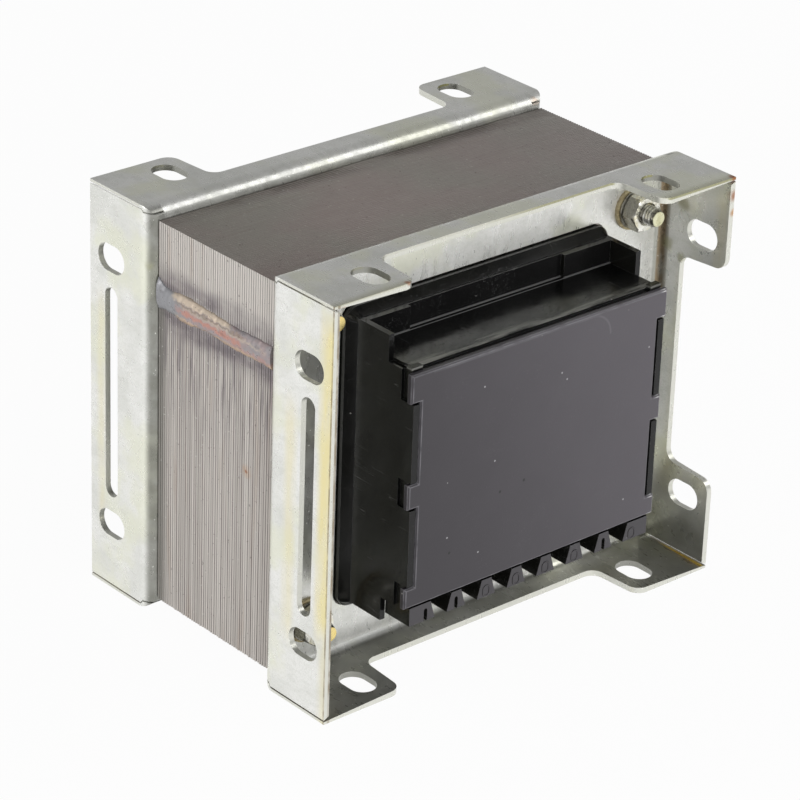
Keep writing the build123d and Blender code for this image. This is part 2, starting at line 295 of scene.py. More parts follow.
@dataclass(frozen=True)
class ZincSheet:
    """Pale passivated zinc on folded sheet, mottled, yellowish beside its cut edges, with a little rust."""

    pale: Colour = (0.87, 0.87, 0.84)
    dull: Colour = (0.62, 0.63, 0.58)
    yellow: Colour = (0.86, 0.76, 0.38)
    tinge: Colour = (0.80, 0.81, 0.64)
    sheared: Colour = (0.70, 0.70, 0.63)
    rim: Colour = (0.95, 0.94, 0.90)
    hole_wall_shade: Colour = (0.30, 0.30, 0.27)
    shaded: Colour = (0.17, 0.17, 0.145)
    folded: Colour = (0.26, 0.26, 0.22)
    dirt: Colour = (0.34, 0.34, 0.30)
    left_stripes: tuple[Span, ...] = (
        (-38.0, -32.8, 18.0, 82.0, 0.9), (-38.0, -34.2, -4.0, 30.0, 0.35),
        (-26.0, -23.2, 14.0, 62.0, 0.40), (31.6, 33.6, 14.0, 62.0, 0.35),
    )
    seam_slant: float = 0.22
    left_half: Span = (-1.0, 1.0)
    right_share: Span = (-1.0, 1.0, 1.0, 0.35)
    front_rim: Span = (-36.0, -35.6, 0.06)
    front_end: Span = (-35.7, -35.5)
    inner_rim: Span = (-49.0, -48.4, 0.08)
    upper_seam: Span = (84.1, 84.44, 0.05)
    lower_seam: Span = (0.56, 0.9, 0.05)
    outer_faces: Span = (48.8, 49.0, 0.0, 0.85)
    flanges: Span = (20.0, 21.0)
    top_edge: Span = (84.55, 85.2, 0.08)
    plainer_left: Span = (-6.0, 14.0, 0.15, 0.85)
    rear_side_bend: Span = (12.0, 18.8, 0.7)
    left_side: Span = (-46.4, -46.0, 0.9)
    rear_top_bend: Span = (12.0, 17.9, 0.6)
    top_side: Span = (81.0, 81.6, 0.0, 0.75)
    bottom_flange: Span = (2.0, 3.0)
    right_ear: Span = (47.5, 48.0)
    low_on_ear: Span = (5.0, 30.0)
    beside_hood: Span = (-35.6, -34.4)
    strip_foot: Span = (12.0, 26.0)
    plate_front: Span = (-20.0, -19.0)
    plate_back: Span = (-17.5, -17.0)
    front_frame: Span = (-19.4, -18.6)
    seam_run: Span = (-36.0, -21.0)
    seam_border: Span = (48.42, 48.5)
    seam_height: Span = (1.3, 1.6)
    seam_start: Span = (-36.0, -35.8)
    seam_outside: Span = (49.1, 49.3)
    bend_across: Span = (47.4, 48.45, 0.2)
    bend_along: Span = (-20.5, -18.5, 0.1)
    bend_height: Span = (46.0, 81.0, 2.0)
    olive_border: Span = (-36.0, -33.8, 0.5)
    top_face: Span = (84.8, 84.9)
    fold_across: Span = (46.8, 48.6, 0.4)
    fold_along: Span = (-20.4, -18.1, 0.2)
    stains: tuple[Stain, ...] = (
        Stain((-32.6, -35.6, 85.0), 0.9, RUST, 0.8),
        Stain((49.4, -35.6, 85.0), 1.4, RUST, 0.9),
        Stain((49.6, -36.0, 81.2), 1.6, RUST, 0.8),
        Stain((49.7, -36.0, 77.6), 1.2, PALE_RUST, 0.8),
        Stain((-47.8, -36.0, 83.8), 1.0, PALE_RUST, 0.7),
        Stain((47.2, 17.4, 84.4), 1.7, PALE_RUST, 0.55),
        Stain((-49.75, 18.2, 73.1), 1.7, OLIVE, 0.5),
        Stain((48.55, -24.0, 75.6), 2.3, OLIVE, 0.6),
        Stain((48.55, -20.4, 66.0), 2.0, OLIVE, 0.6),
        Stain((48.55, -24.2, 64.2), 1.6, OLIVE, 0.6),
        Stain((49.2, -35.8, 22.0), 2.6, OLIVE, 0.5),
    )

    def left_bands(self, recipe: Recipe) -> Value:
        """Give the upright yellow bands on the left flanges, beside the front edge and the long slots."""
        stripes = [
            recipe.y.band(low, high, 1.2) * recipe.z.band(bottom, top, 4.0) * strength
            for low, high, bottom, top, strength in self.left_stripes
        ]
        uneven = recipe.noise(5.0, 7.0, 4, (1, 0.5, 3)).ease(0.34, 0.60, 0.6, 1.0)
        left = recipe.left_faces() * recipe.x.ease(*self.right_share)
        return reduce(Value.__or__, stripes) * uneven * left

    def rim_lines(self, recipe: Recipe) -> Value:
        """Give the dark lines beside the left flange's front edge and along the seams."""
        outside = recipe.left_faces() * recipe.x.below(*self.left_half) * recipe.y.band(*self.front_rim)
        inside = recipe.front_faces() * recipe.y.below(*self.front_end) * recipe.x.band(*self.inner_rim)
        patchy = recipe.noise(3.0, 12.0, 4).ease(0.32, 0.60, 0.3, 0.8)
        seams = recipe.z.band(*self.upper_seam) | recipe.z.band(*self.lower_seam) * 0.6
        outer = abs(recipe.x).ease(*self.outer_faces) * abs(recipe.y).ease(*self.flanges)
        return (outside | inside) * patchy | seams * outer

    def olive_lines(self, recipe: Recipe) -> Value:
        """Give the olive lines along the front edges of the top flange, plainer towards the left."""
        line = recipe.z.band(*self.top_edge) * recipe.x.ease(*self.plainer_left)
        return line * recipe.front_faces() * recipe.painted("cut_edge")

    def rear_bend_shade(self, recipe: Recipe) -> Value:
        """Give the painted shade on the rear frame's bends, next to the core."""
        beside = recipe.y.band(*self.rear_side_bend) * recipe.x.below(*self.left_side)
        over = recipe.y.band(*self.rear_top_bend) * recipe.z.ease(*self.top_side)
        return (beside | over) * recipe.noise(4.0, 21.0).spread(0.8, 1.0)

    def inner_shade(self, recipe: Recipe) -> Value:
        """Give the painted shade inside the front frame: bottom flange, right ear, strip beside the hood."""
        floor = recipe.facing_z.ease(0.6, 0.9, 0.0, 0.87) * recipe.z.below(*self.bottom_flange)
        ear = recipe.left_faces(0.86) * recipe.x.ease(*self.right_ear) * recipe.z.below(*self.low_on_ear)
        strip = recipe.front_faces(0.8) * recipe.x.below(*self.beside_hood) * recipe.z.ease(*self.strip_foot)
        strip = strip * recipe.y.ease(*self.plate_front) * recipe.y.below(*self.plate_back)
        uneven = recipe.noise(6.0, 31.0, 5).ease(0.35, 0.65, 0.82, 1.0)
        return ((floor | ear) * recipe.y.below(*self.front_frame) | strip) * uneven

    def seam_light(self, recipe: Recipe) -> Value:
        """Give the painted light along the seam of the bottom flange and the right one: a yellow line, wider
        towards the front.
        """
        forward = recipe.y.below(*self.seam_run)
        near = (recipe.x + forward * self.seam_slant).ease(*self.seam_border)
        low = recipe.z.below(*self.seam_height) * recipe.y.ease(*self.seam_start)
        return near * low * recipe.x.below(*self.seam_outside) * forward.ease(0.0, 0.3)

    def bend_line(self, recipe: Recipe) -> Value:
        """Give the brown line down the inner bend of the front frame's right flange."""
        line = recipe.x.band(*self.bend_across) * recipe.y.band(*self.bend_along)
        ragged = recipe.noise(2.2, 15.0, 4, (1, 1, 3)).ease(0.30, 0.5, 0.35, 0.9)
        return line * recipe.z.band(*self.bend_height) * ragged

    def build(self) -> Material:
        """Write the finish's nodes."""
        recipe = Recipe("zinc_sheet", self.pale)
        recipe.coat(self.dull, recipe.noise(9.0, 3.1, 5).ease(0.40, 0.66, 0.0, 0.40))
        recipe.coat(self.dull, recipe.noise(1.7, 1.3, 6, (1, 2.0, 0.8)).ease(0.53, 0.58, 0.0, 0.22))
        recipe.coat(self.dull, recipe.noise(0.33, 11.0).ease(0.44, 0.66, 0.0, 0.35))
        recipe.coat(self.tinge, recipe.noise(13.0, 8.4, 5).ease(0.48, 0.64, 0.0, 0.6))
        cut = recipe.painted("cut_edge")
        recipe.coat(self.sheared, cut.ease(0.0, 1.0, 0.0, 0.85))
        # Painted shade on the walls of the holes in the level flanges.
        recipe.coat(self.hole_wall_shade, cut.ease(1.0, 2.0, 0.0, 0.9))
        recipe.coat(OLIVE, recipe.y.below(*self.olive_border) * recipe.z.ease(*self.top_face))
        recipe.coat(self.yellow, self.left_bands(recipe))
        # Painted highlight: the pale rim colour laid on the faces of the rounded edges.
        recipe.coat(self.rim, recipe.painted("rounded_edge") * 0.7)
        recipe.coat(self.shaded, self.rear_bend_shade(recipe))
        recipe.coat(self.shaded, self.inner_shade(recipe))
        recipe.coat(BROWN, self.rim_lines(recipe))
        recipe.coat(OLIVE, self.olive_lines(recipe))
        # Painted shade on the inner bend where the plate turns into the right flange.
        fold = recipe.x.band(*self.fold_across) * recipe.y.band(*self.fold_along)
        recipe.coat(self.folded, fold * 0.8)
        recipe.coat(BROWN, self.bend_line(recipe))
        # Painted light showing through the seam gap, in yellow.
        recipe.coat(SEAM_LIGHT, self.seam_light(recipe))
        recipe.speckle(self.dirt, 0.6, 72.0, 0.72, 0.35)
        recipe.speckle(self.rim, 0.6, 70.0, 0.70, 0.7)
        for stain in self.stains:
            recipe.blot(stain)
        recipe.relief(recipe.noise(0.4, 9.0, 2), 0.004)
        recipe.relief(recipe.noise(6.0, 4.0, 2), 0.015)
        return recipe.finish(recipe.noise(1.4, 6.0, 5, (1, 3, 3)).spread(0.25, 0.37), 0.62)


@dataclass(frozen=True)
class CoreSheet:
    """Edges of thin varnished core sheets, heat tinted beside the weld, with painted shade that makes the
    top darker and browner.
    """

    light: Colour = (0.66, 0.62, 0.58)
    dark: Colour = (0.38, 0.345, 0.32)
    brown: Colour = (0.42, 0.33, 0.27)
    shaded_top_tone: Colour = (0.355, 0.285, 0.265)
    greenish: Colour = (0.335, 0.315, 0.275)
    sunny: Colour = (0.43, 0.40, 0.385)
    bend_shadow: Colour = (0.12, 0.10, 0.085)
    tint: Colour = (0.10, 0.075, 0.10)
    shaded: Colour = (0.17, 0.165, 0.145)
    groove: Colour = (0.11, 0.10, 0.09)
    pale_specks: Colour = (0.62, 0.60, 0.56)
    dark_specks: Colour = (0.13, 0.11, 0.10)
    chip: Point = (-48.0, -9.8, 41.3)
    upper_sheets: Span = (66.4, 66.6, 0.62, 0.20)
    sunny_side: Span = (-24.0, 48.0, 0.0, 0.45)
    rear_strip: Span = (11.5, 16.6)
    side_faces: Span = (47.6, 47.8)
    rear_corner: Span = (13.4, 16.4, 0.0, 0.8)
    corner_height: Span = (63.0, 72.0, 1.0, 0.25)

    def heat_tints(self, recipe: Recipe, side: Value) -> None:
        """Lay the smoke above and below the weld: two even bands, and upright streaks under both."""
        even = (4.0, (1, 2, 1), (0.35, 0.65, 0.3, 0.75))
        streaky = (1.4, (1, 0.5, 9), (0.46, 0.64, 0.0, 0.6))
        for low, high, soft, (size, stretch, limits) in (
            (61.6, 66.0, 2.0, even), (68.6, 73.4, 2.0, even), (50.0, 66.0, 12.0, streaky),
        ):
            patchy = recipe.noise(size, low, 3, stretch).ease(*limits)
            recipe.coat(self.tint, recipe.z.band(low, high, soft) * side * patchy)

    def build(self) -> Material:
        """Write the finish's nodes."""
        recipe = Recipe("core_sheet", self.light)
        single = recipe.painted("sheet_tone") * recipe.z.ease(*self.upper_sheets)
        streaks = recipe.noise(2.6, 2.0, 4, (6, 0.12, 6)) * 0.35
        recipe.coat(self.dark, (single + streaks).ease(0.12, 0.92))
        recipe.coat(self.brown, recipe.noise(9.0, 7.0, 3, (2, 0.25, 3)).ease(0.56, 0.70, 0.0, 0.35))
        top = recipe.facing_z.ease(0.6, 0.9)
        clouds = recipe.noise(24.0, 4.0, 5).ease(0.36, 0.64)
        # Painted shade with a brown tint: the top faces darker than the sides.
        recipe.coat(recipe.mixed(clouds, self.shaded_top_tone, self.greenish), top * 0.93)
        recipe.coat(self.sunny, top * recipe.x.ease(*self.sunny_side))
        # Painted shadow on the top beside the rear frame's bend.
        beside = recipe.noise(7.0, 12.0, 5, (2, 0.7, 1)).ease(0.35, 0.62, 0.3, 0.95)
        recipe.coat(self.bend_shadow, beside * top * recipe.y.ease(*self.rear_strip))
        side = abs(recipe.x).ease(*self.side_faces)
        self.heat_tints(recipe, side)
        corner = recipe.y.ease(*self.rear_corner) * side
        recipe.coat(self.shaded, corner * recipe.z.ease(*self.corner_height))
        recipe.blot(Stain(self.chip, 1.9, PALE_RUST, 0.35))
        recipe.blot(Stain(self.chip, 0.5, RUST))
        edge = recipe.painted("sheet_edge").ease(0.1, 1.0, 0.0, 0.72)
        recipe.coat(self.groove, edge * recipe.facing_z.ease(0.6, 0.9, 1.0, 0.1))
        recipe.speckle(self.pale_specks, 0.7, 5.0, 0.69, 0.55)
        recipe.speckle(self.dark_specks, 0.7, 6.0, 0.69, 0.55)
        recipe.relief(recipe.noise(0.5, 3.0, 3, (6, 0.4, 6)), 0.012)
        return recipe.finish(recipe.noise(1.2, 1.0, 3, (5, 0.3, 5)).spread(0.36, 0.55), 0.45)


@dataclass(frozen=True)
class WeldMetal:
    """A weld bead with silver, salmon and mauve heat colours along its length, and a cream painted highlight
    along its upper slope.
    """

    silver: Colour = (0.30, 0.30, 0.315)
    cream_highlight: Colour = (0.64, 0.53, 0.41)
    orange: Colour = (0.60, 0.42, 0.27)
    salmon: Colour = (0.55, 0.26, 0.20)
    mauve: Colour = (0.37, 0.30, 0.30)
    soot: Colour = (0.07, 0.06, 0.06)

    def build(self) -> Material:
        """Write the finish's nodes."""
        recipe = Recipe("weld_metal", self.mauve)
        along = recipe.y + recipe.noise(2.4, 4.0, 5) * 6.0
        across = recipe.z + recipe.noise(1.1, 6.0, 5) * 2.4
        recipe.coat(self.silver, along.ease(10.0, 15.0))
        recipe.coat(self.silver, recipe.noise(1.3, 3.0, 5, (1, 2, 1)).ease(0.42, 0.60, 0.0, 0.6))
        # The cream bands are painted highlight on the bead's upper slope; the other bands are heat colours
        # and a brown line.
        for low, high, near, far, tone, amount in (
            (69.9, 73.0, -2.0, 15.0, self.cream_highlight, 0.85), (67.6, 68.7, -5.0, 13.0, self.salmon, 0.8),
            (62.0, 66.8, -22.0, 14.0, self.orange, 0.75), (69.3, 69.7, -6.0, 13.0, BROWN, 0.7),
            (68.9, 69.3, -12.0, 12.0, self.cream_highlight, 0.6), (66.8, 67.4, -16.0, -2.0, self.salmon, 0.45),
        ):
            recipe.coat(tone, across.band(low, high, 0.35) * along.band(near, far, 1.5) * amount)
        recipe.coat(self.soot, recipe.noise(1.1, 9.0, 5, (1, 2.5, 1)).ease(0.58, 0.70) * 0.3)
        recipe.relief(recipe.noise(0.6, 1.0, 4), 0.03)
        return recipe.finish(recipe.noise(0.8, 2.0).spread(0.26, 0.5), 0.5)


@dataclass(frozen=True)
class Moulding:
    """Black moulded plastic of the hoods or of the cover, with painted highlights on its rounded edges,
    scratches and light dust.
    """

    name: str
    body: Colour
    lit: Colour
    highlight_and_scratch: Colour
    glint: Colour
    roughness: float
    dust: float
    refraction: float
    cover: bool
    left_face_light: Colour = (0.013, 0.013, 0.011)
    posts: Colour = (0.066, 0.062, 0.068)
    lugs: Colour = (0.085, 0.08, 0.088)
    dusty: Colour = (0.45, 0.44, 0.42)
    wiped_highlight: Colour = (0.34, 0.34, 0.31)
    pale_nick: Colour = (0.42, 0.41, 0.42)
    dark_pit: Colour = (0.012, 0.012, 0.012)
    cover_face: float = -37.3
    lit_side: Span = (-18.0, 66.0)
    comb_height: Span = (19.2, 19.5)
    comb_front: Span = (-34.0, -33.6)
    turn_radius: Span = (4.5, 4.9, 0.12)
    turn_right: Span = (12.5, 12.7)
    turn_up: Span = (61.4, 61.8)
    line_height: Span = (66.1, 66.5, 0.12)
    line_reach: Span = (-27.0, 12.6, 0.1)
    line_front: Span = (-37.1, -36.9, 0.4)
    bright_end: Span = (30.0, 31.6)
    collar_top: Span = (67.3, 67.7, 0.1)
    wiped_highlight_front: Span = (-34.6, -32.4)
    lug_side: Span = (31.4, 31.7)
    lug_front: Span = (-34.4, -34.0, 0.85)
    ledge_highlight_middle: Span = (-20.3, 18.3, 0.05)
    ledge_highlight_back: Span = (-22.1, -21.8, 0.06)
    ledge_highlight_front: Span = (-23.1, -22.8, 0.06)
    ledge_highlight_width: Span = (-31.0, 31.0, 0.05)
    line_turn: tuple[float, float] = (12.6, 61.6)
    nicks: tuple[tuple[float, float], ...] = (
        (-14.3, 59.7), (5.2, 56.9), (6.6, 55.2), (-14.1, 25.2), (-22.1, 30.8), (27.9, 55.8), (-10.9, 43.4),
        (23.6, 24.4),
    )
    pits: tuple[tuple[float, float], ...] = ((-21.4, 27.4), (-3.2, 37.0), (-9.2, 36.4))

    def painted_hood_light(self, recipe: Recipe) -> None:
        """Lay painted light: lighter tones on the hoods' left faces and on the front of the comb."""
        recipe.coat(self.left_face_light, recipe.left_faces(0.8))
        comb = recipe.z.below(*self.comb_height) * recipe.y.below(*self.comb_front)
        # Painted light on the front faces of the comb's posts.
        recipe.coat(self.posts, recipe.front_faces(0.9) * comb)

    def highlight_line(self, recipe: Recipe) -> Value:
        """Give the painted highlight line under the cover's top edge, which turns down at its right end."""
        across, up = self.line_turn
        away = recipe.away((across, self.cover_face, up))
        turn = away.band(*self.turn_radius) * recipe.x.ease(*self.turn_right) * recipe.z.ease(*self.turn_up)
        straight = recipe.z.band(*self.line_height) * recipe.x.band(*self.line_reach)
        uneven = recipe.noise(4.0, 17.0, 4).ease(0.35, 0.6, 0.35, 1.0)
        return (turn | straight) * recipe.y.below(*self.line_front) * uneven

    def cover_marks(self, recipe: Recipe) -> None:
        """Lay the pale nicks and the dark pits on the cover's face."""
        for spots, radius, colour in ((self.nicks, 0.26, self.pale_nick), (self.pits, 0.42, self.dark_pit)):
            for across, up in spots:
                recipe.blot(Stain((across, self.cover_face, up), radius, colour, 0.9), 0.25)

    def scratches(self, recipe: Recipe) -> Value:
        """Give hairlines in three directions."""
        return reduce(Value.__or__, [
            recipe.noise(0.9, seed, 1, (1, 60, 1), turn).band(0.600, 0.606, 0.004)
            * recipe.noise(9.0, seed + 1, 2).ease(0.58, 0.66)
            for turn, seed in ((24.0, 3.0), (-37.0, 6.0), (71.0, 8.0))
        ])

    def build(self) -> Material:
        """Write the finish's nodes."""
        recipe = Recipe(self.name, self.body)
        rightwards = recipe.x + recipe.z * 0.35 + recipe.noise(14.0, 1.0, 4) * 14.0
        recipe.coat(self.lit, rightwards.ease(*self.lit_side))
        if not self.cover:
            self.painted_hood_light(recipe)
        # Painted highlights on the rounded edges, with a brighter glint towards the right end.
        edge_light = recipe.painted("rounded_edge") * recipe.noise(3.0, 5.0, 4).ease(0.3, 0.6, 0.2, 1.0)
        recipe.coat(self.highlight_and_scratch, edge_light * 0.8)
        recipe.coat(self.glint, edge_light * recipe.x.ease(*self.bright_end))
        if self.cover:
            recipe.coat(self.highlight_and_scratch, self.highlight_line(recipe))
        recipe.coat(self.highlight_and_scratch, self.scratches(recipe) * 0.35)
        distance, chance = recipe.cells(3.2, 2.0)
        recipe.coat(self.dusty, distance.below(0.03, 0.06) * chance.ease(1 - self.dust, 1.0))
        if self.cover:
            self.cover_marks(recipe)
        collar = recipe.z.band(*self.collar_top)
        if not self.cover:
            # Painted highlight: a lighter streak along the front of the recess floor, where it is wiped.
            smear = recipe.noise(1.6, 13.0, 5, (7, 1, 1)).ease(0.38, 0.62)
            recipe.coat(self.wiped_highlight, collar * recipe.y.below(*self.wiped_highlight_front) * smear * 0.5)
        recipe.coat(self.lugs, recipe.x.ease(*self.lug_side) * recipe.y.below(*self.lug_front))
        if not self.cover:
            # Painted highlight lines along the back of the recess floor, at the foot of its ledge.
            middle = recipe.x.band(*self.ledge_highlight_middle) * recipe.y.band(*self.ledge_highlight_back)
            ends = recipe.y.band(*self.ledge_highlight_front) * recipe.x.band(*self.ledge_highlight_width)
            recipe.coat(self.highlight_and_scratch, (middle | ends) * collar * 0.8)
        recipe.relief(recipe.noise(0.25, 9.0, 2), 0.004)
        recipe.relief(recipe.noise(0.45, 4.0, 2).ease(0.60, 0.72), 0.012)
        recipe.relief(recipe.noise(9.0, 8.0, 2), 0.008)
        recipe.shader.inputs["IOR"].default_value = self.refraction
        roughness = recipe.noise(6.0, 7.0, 4).spread(self.roughness - 0.05, self.roughness + 0.07)
        return recipe.finish(roughness, 0.0)


@dataclass(frozen=True)
class WindingCopper:
    """Enamelled copper turns laid side by side."""

    turn_pitch: float = 0.62
    groove: Colour = (0.16, 0.05, 0.02)
    crown: Colour = (0.72, 0.30, 0.14)
    stained: Colour = (0.50, 0.18, 0.07)

    def build(self) -> Material:
        """Write the finish's nodes."""
        recipe = Recipe("winding_copper", self.groove)
        turns = (recipe.z * (math.tau / self.turn_pitch)).calc("SINE") * 0.5 + 0.5
        recipe.coat(self.crown, turns)
        recipe.coat(self.stained, recipe.noise(6.0).ease(0.4, 0.7, 0.0, 0.4))
        recipe.relief(turns, 0.2)
        return recipe.finish(recipe.noise(2.0, 3.0).spread(0.22, 0.38), 0.9)


@dataclass(frozen=True)
class InsulatingFilm:
    """Yellow polyester film wound in overlapping layers."""

    lap: float = 9.0
    seam: Colour = (0.50, 0.36, 0.10)
    clear: Colour = (0.72, 0.56, 0.20)
    clouded: Colour = (0.60, 0.42, 0.12)

    def build(self) -> Material:
        """Write the finish's nodes."""
        recipe = Recipe("insulating_film", self.seam)
        recipe.coat(self.clear, (recipe.z * (1 / self.lap)).calc("FRACT").ease(0.0, 0.08))
        recipe.coat(self.clouded, recipe.noise(5.0, detail=4).ease(0.4, 0.7, 0.0, 0.5))
        recipe.relief(recipe.noise(3.0, 2.0, 4, (1, 1, 4)), 0.08)
        return recipe.finish(recipe.noise(1.5, 4.0).spread(0.22, 0.4), 0.0)


@dataclass(frozen=True)
class FibreBoard:
    """Brown pressed fibre, with short strands and a varnished skin."""

    base: Colour = (0.24, 0.19, 0.10)
    strand: Colour = (0.42, 0.36, 0.21)

    def build(self) -> Material:
        """Write the finish's nodes."""
        recipe = Recipe("fibre_board", self.base)
        strands = recipe.noise(0.5, 2.0, 5, (5, 1, 1))
        recipe.coat(self.strand, strands.ease(0.35, 0.7))
        recipe.relief(strands, 0.03)
        return recipe.finish(recipe.noise(0.7, 6.0).spread(0.4, 0.6), 0.0)


@dataclass(frozen=True)
class TinnedMetal:
    """Tinned brass, a little dull and streaked."""

    bright: Colour = (0.80, 0.79, 0.75)
    dull: Colour = (0.52, 0.51, 0.47)

    def build(self) -> Material:
        """Write the finish's nodes."""
        recipe = Recipe("tinned_metal", self.bright)
        streaks = recipe.noise(0.8, 2.0, 4, (1, 1, 5))
        recipe.coat(self.dull, streaks.ease(0.4, 0.7))
        recipe.relief(recipe.noise(0.4, 5.0), 0.01)
        return recipe.finish(streaks.spread(0.22, 0.42), 0.95)


@dataclass(frozen=True)
class FastenerSteel:
    """Zinc plated steel, faintly yellow, dark in the threads and greenish on the bolt ends."""

    bright: Colour = (0.92, 0.91, 0.84)
    gold: Colour = (0.76, 0.68, 0.40)
    dirt_and_shade: Colour = (0.16, 0.15, 0.12)
    tip: Colour = (0.78, 0.77, 0.50)
    golden_tip: Colour = (0.90, 0.68, 0.16)
    nut_flanks: Span = (-23.2, -18.9, 0.1)
    nut_seats: Span = (-19.6, -18.6, 0.05)
    left_to_right: Span = (-10.0, 10.0)
    bolt_ends: Span = (-25.7, -25.4, 0.8)

    def build(self) -> Material:
        """Write the finish's nodes."""
        recipe = Recipe("fastener_steel", self.bright)
        recipe.coat(self.gold, recipe.noise(2.4, 1.0, 4).ease(0.46, 0.66, 0.0, 0.6))
        recipe.coat(self.dirt_and_shade, recipe.noise(0.8, 4.0, 4).ease(0.58, 0.72, 0.0, 0.55))
        # Painted shade: a dark reflection on the nuts' left flanks, and shade at the nuts' seats.
        flank = recipe.facing_x.below(-0.5, -0.25, 0.85) * recipe.y.band(*self.nut_flanks)
        recipe.coat(self.dirt_and_shade, flank | recipe.y.band(*self.nut_seats) * 0.75)
        ends = recipe.mixed(recipe.x.ease(*self.left_to_right), self.golden_tip, self.tip)
        recipe.coat(ends, recipe.y.below(*self.bolt_ends))
        recipe.coat(self.dirt_and_shade, recipe.painted("thread_root") * 0.92)
        recipe.relief(recipe.noise(0.3, 5.0), 0.008)
        return recipe.finish(recipe.noise(1.0, 3.0).spread(0.20, 0.38), 0.85)


@dataclass(frozen=True)
class Finishes:
    """Every finish of the object, made once and shared by its pieces."""

    zinc: Material
    core: Material
    weld: Material
    hood: Material
    cover: Material
    copper: Material
    film: Material
    fibre: Material
    tinned: Material
    steel: Material

    @classmethod
    def make(cls) -> "Finishes":
        """Build all the materials."""
        hood = Moulding(
            name="black_moulding", body=(0.003, 0.003, 0.003), lit=(0.006, 0.006, 0.006),
            highlight_and_scratch=(0.26, 0.26, 0.26), glint=(0.50, 0.50, 0.48),
            roughness=0.16, dust=0.08, refraction=1.37, cover=False,
        )
        cover = Moulding(
            name="cover_moulding", body=(0.038, 0.0345, 0.040), lit=(0.094, 0.086, 0.098),
            highlight_and_scratch=(0.17, 0.165, 0.18), glint=(0.72, 0.72, 0.72),
            roughness=0.36, dust=0.35, refraction=1.42, cover=True,
        )
        return cls(*(
            finish.build() for finish in (
                ZincSheet(), CoreSheet(), WeldMetal(), hood, cover, WindingCopper(), InsulatingFilm(),
                FibreBoard(), TinnedMetal(), FastenerSteel(),
            )
        ))


# Mesh and repeat tools


def mesh_from(name: str, bm: Shape) -> bpy.types.Mesh:
    """Turn a bmesh into a mesh, and free it."""
    mesh = bpy.data.meshes.new(name)
    bm.to_mesh(mesh)
    bm.free()
    return mesh


def linked(name: str, data: bpy.types.ID) -> Piece:
    """Put a mesh, a camera or a lamp into the scene, and return its object."""
    added = bpy.data.objects.new(name, data)
    bpy.context.scene.collection.objects.link(added)
    return added


def dress(mesh: bpy.types.Mesh, *materials: Material) -> None:
    """Give a mesh these materials and no others."""
    mesh.materials.clear()
    for material in materials:
        mesh.materials.append(material)


def piece_from(name: str, bm: Shape, material: Material, sharp: float = 35.0) -> Piece:
    """Turn a bmesh into a linked object with its faces outwards.

    Args:
        name: The piece's name.
        bm: The mesh, in metres; it is freed.
        material: The piece's finish.
        sharp: Edges over this angle in degrees stay sharp.

    Returns:
        The new object, at the origin.
    """
    bmesh.ops.recalc_face_normals(bm, faces=bm.faces)
    mesh = mesh_from(name, bm)
    mesh.shade_smooth()
    mesh.set_sharp_from_angle(angle=math.radians(sharp))
    mesh.materials.append(material)
    return linked(name, mesh)


def settle(piece: Piece) -> None:
    """Turn what a piece's modifiers make into its plain mesh, and remove them."""
    bpy.context.view_layer.update()
    graph = bpy.context.evaluated_depsgraph_get()
    shaped = piece.evaluated_get(graph)
    mesh = bpy.data.meshes.new_from_object(shaped, preserve_all_data_layers=True, depsgraph=graph)
    mesh.name = piece.name
    piece.modifiers.clear()
    piece.data = mesh


def modify(piece: Piece, kind: str, **settings: object) -> None:
    """Run one modifier, and keep what it makes as the plain mesh."""
    modifier = piece.modifiers.new(kind, kind)
    for name, setting in settings.items():
        setattr(modifier, name, setting)
    settle(piece)


def hand_over(piece: Piece, slot: str, *nodes: str) -> None:
    """Put a finished piece on the object's body in place of its CAD nodes, and report it."""
    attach(piece, BODY)
    if nodes:
        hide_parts(*nodes)
    log.info("%s: %d faces, %s", piece.name, len(piece.data.polygons), slot)


def bridge(bm: Shape, near: list[bmesh.types.BMVert], far: list[bmesh.types.BMVert]) -> None:
    """Join two equal rings of points by faces."""
    for i in range(len(near)):
        j = (i + 1) % len(near)
        bm.faces.new((near[i], near[j], far[j], far[i]))


def ring_solid(rings: list[list[Vector]], loop: bool = False) -> Shape:
    """Join equal rings of points into a closed solid.

    Args:
        rings: Rings of the same count, in millimetres.
        loop: True joins the last ring to the first, and False closes both ends with a face.

    Returns:
        The mesh in metres.
    """
    bm = bmesh.new()
    rows = [[bm.verts.new(point * MM) for point in ring] for ring in rings]
    for near, far in zip(rows, rows[1:] + (rows[:1] if loop else [])):
        bridge(bm, near, far)
    if not loop:
        for row in (rows[0], rows[-1]):
            bm.faces.new(row)
    return bm


def paint(mesh: bpy.types.Mesh, name: str, values: list[float], domain: str) -> None:
    """Store a value for each face or point of a mesh."""
    mesh.attributes.new(name, "FLOAT", domain).data.foreach_set("value", values)


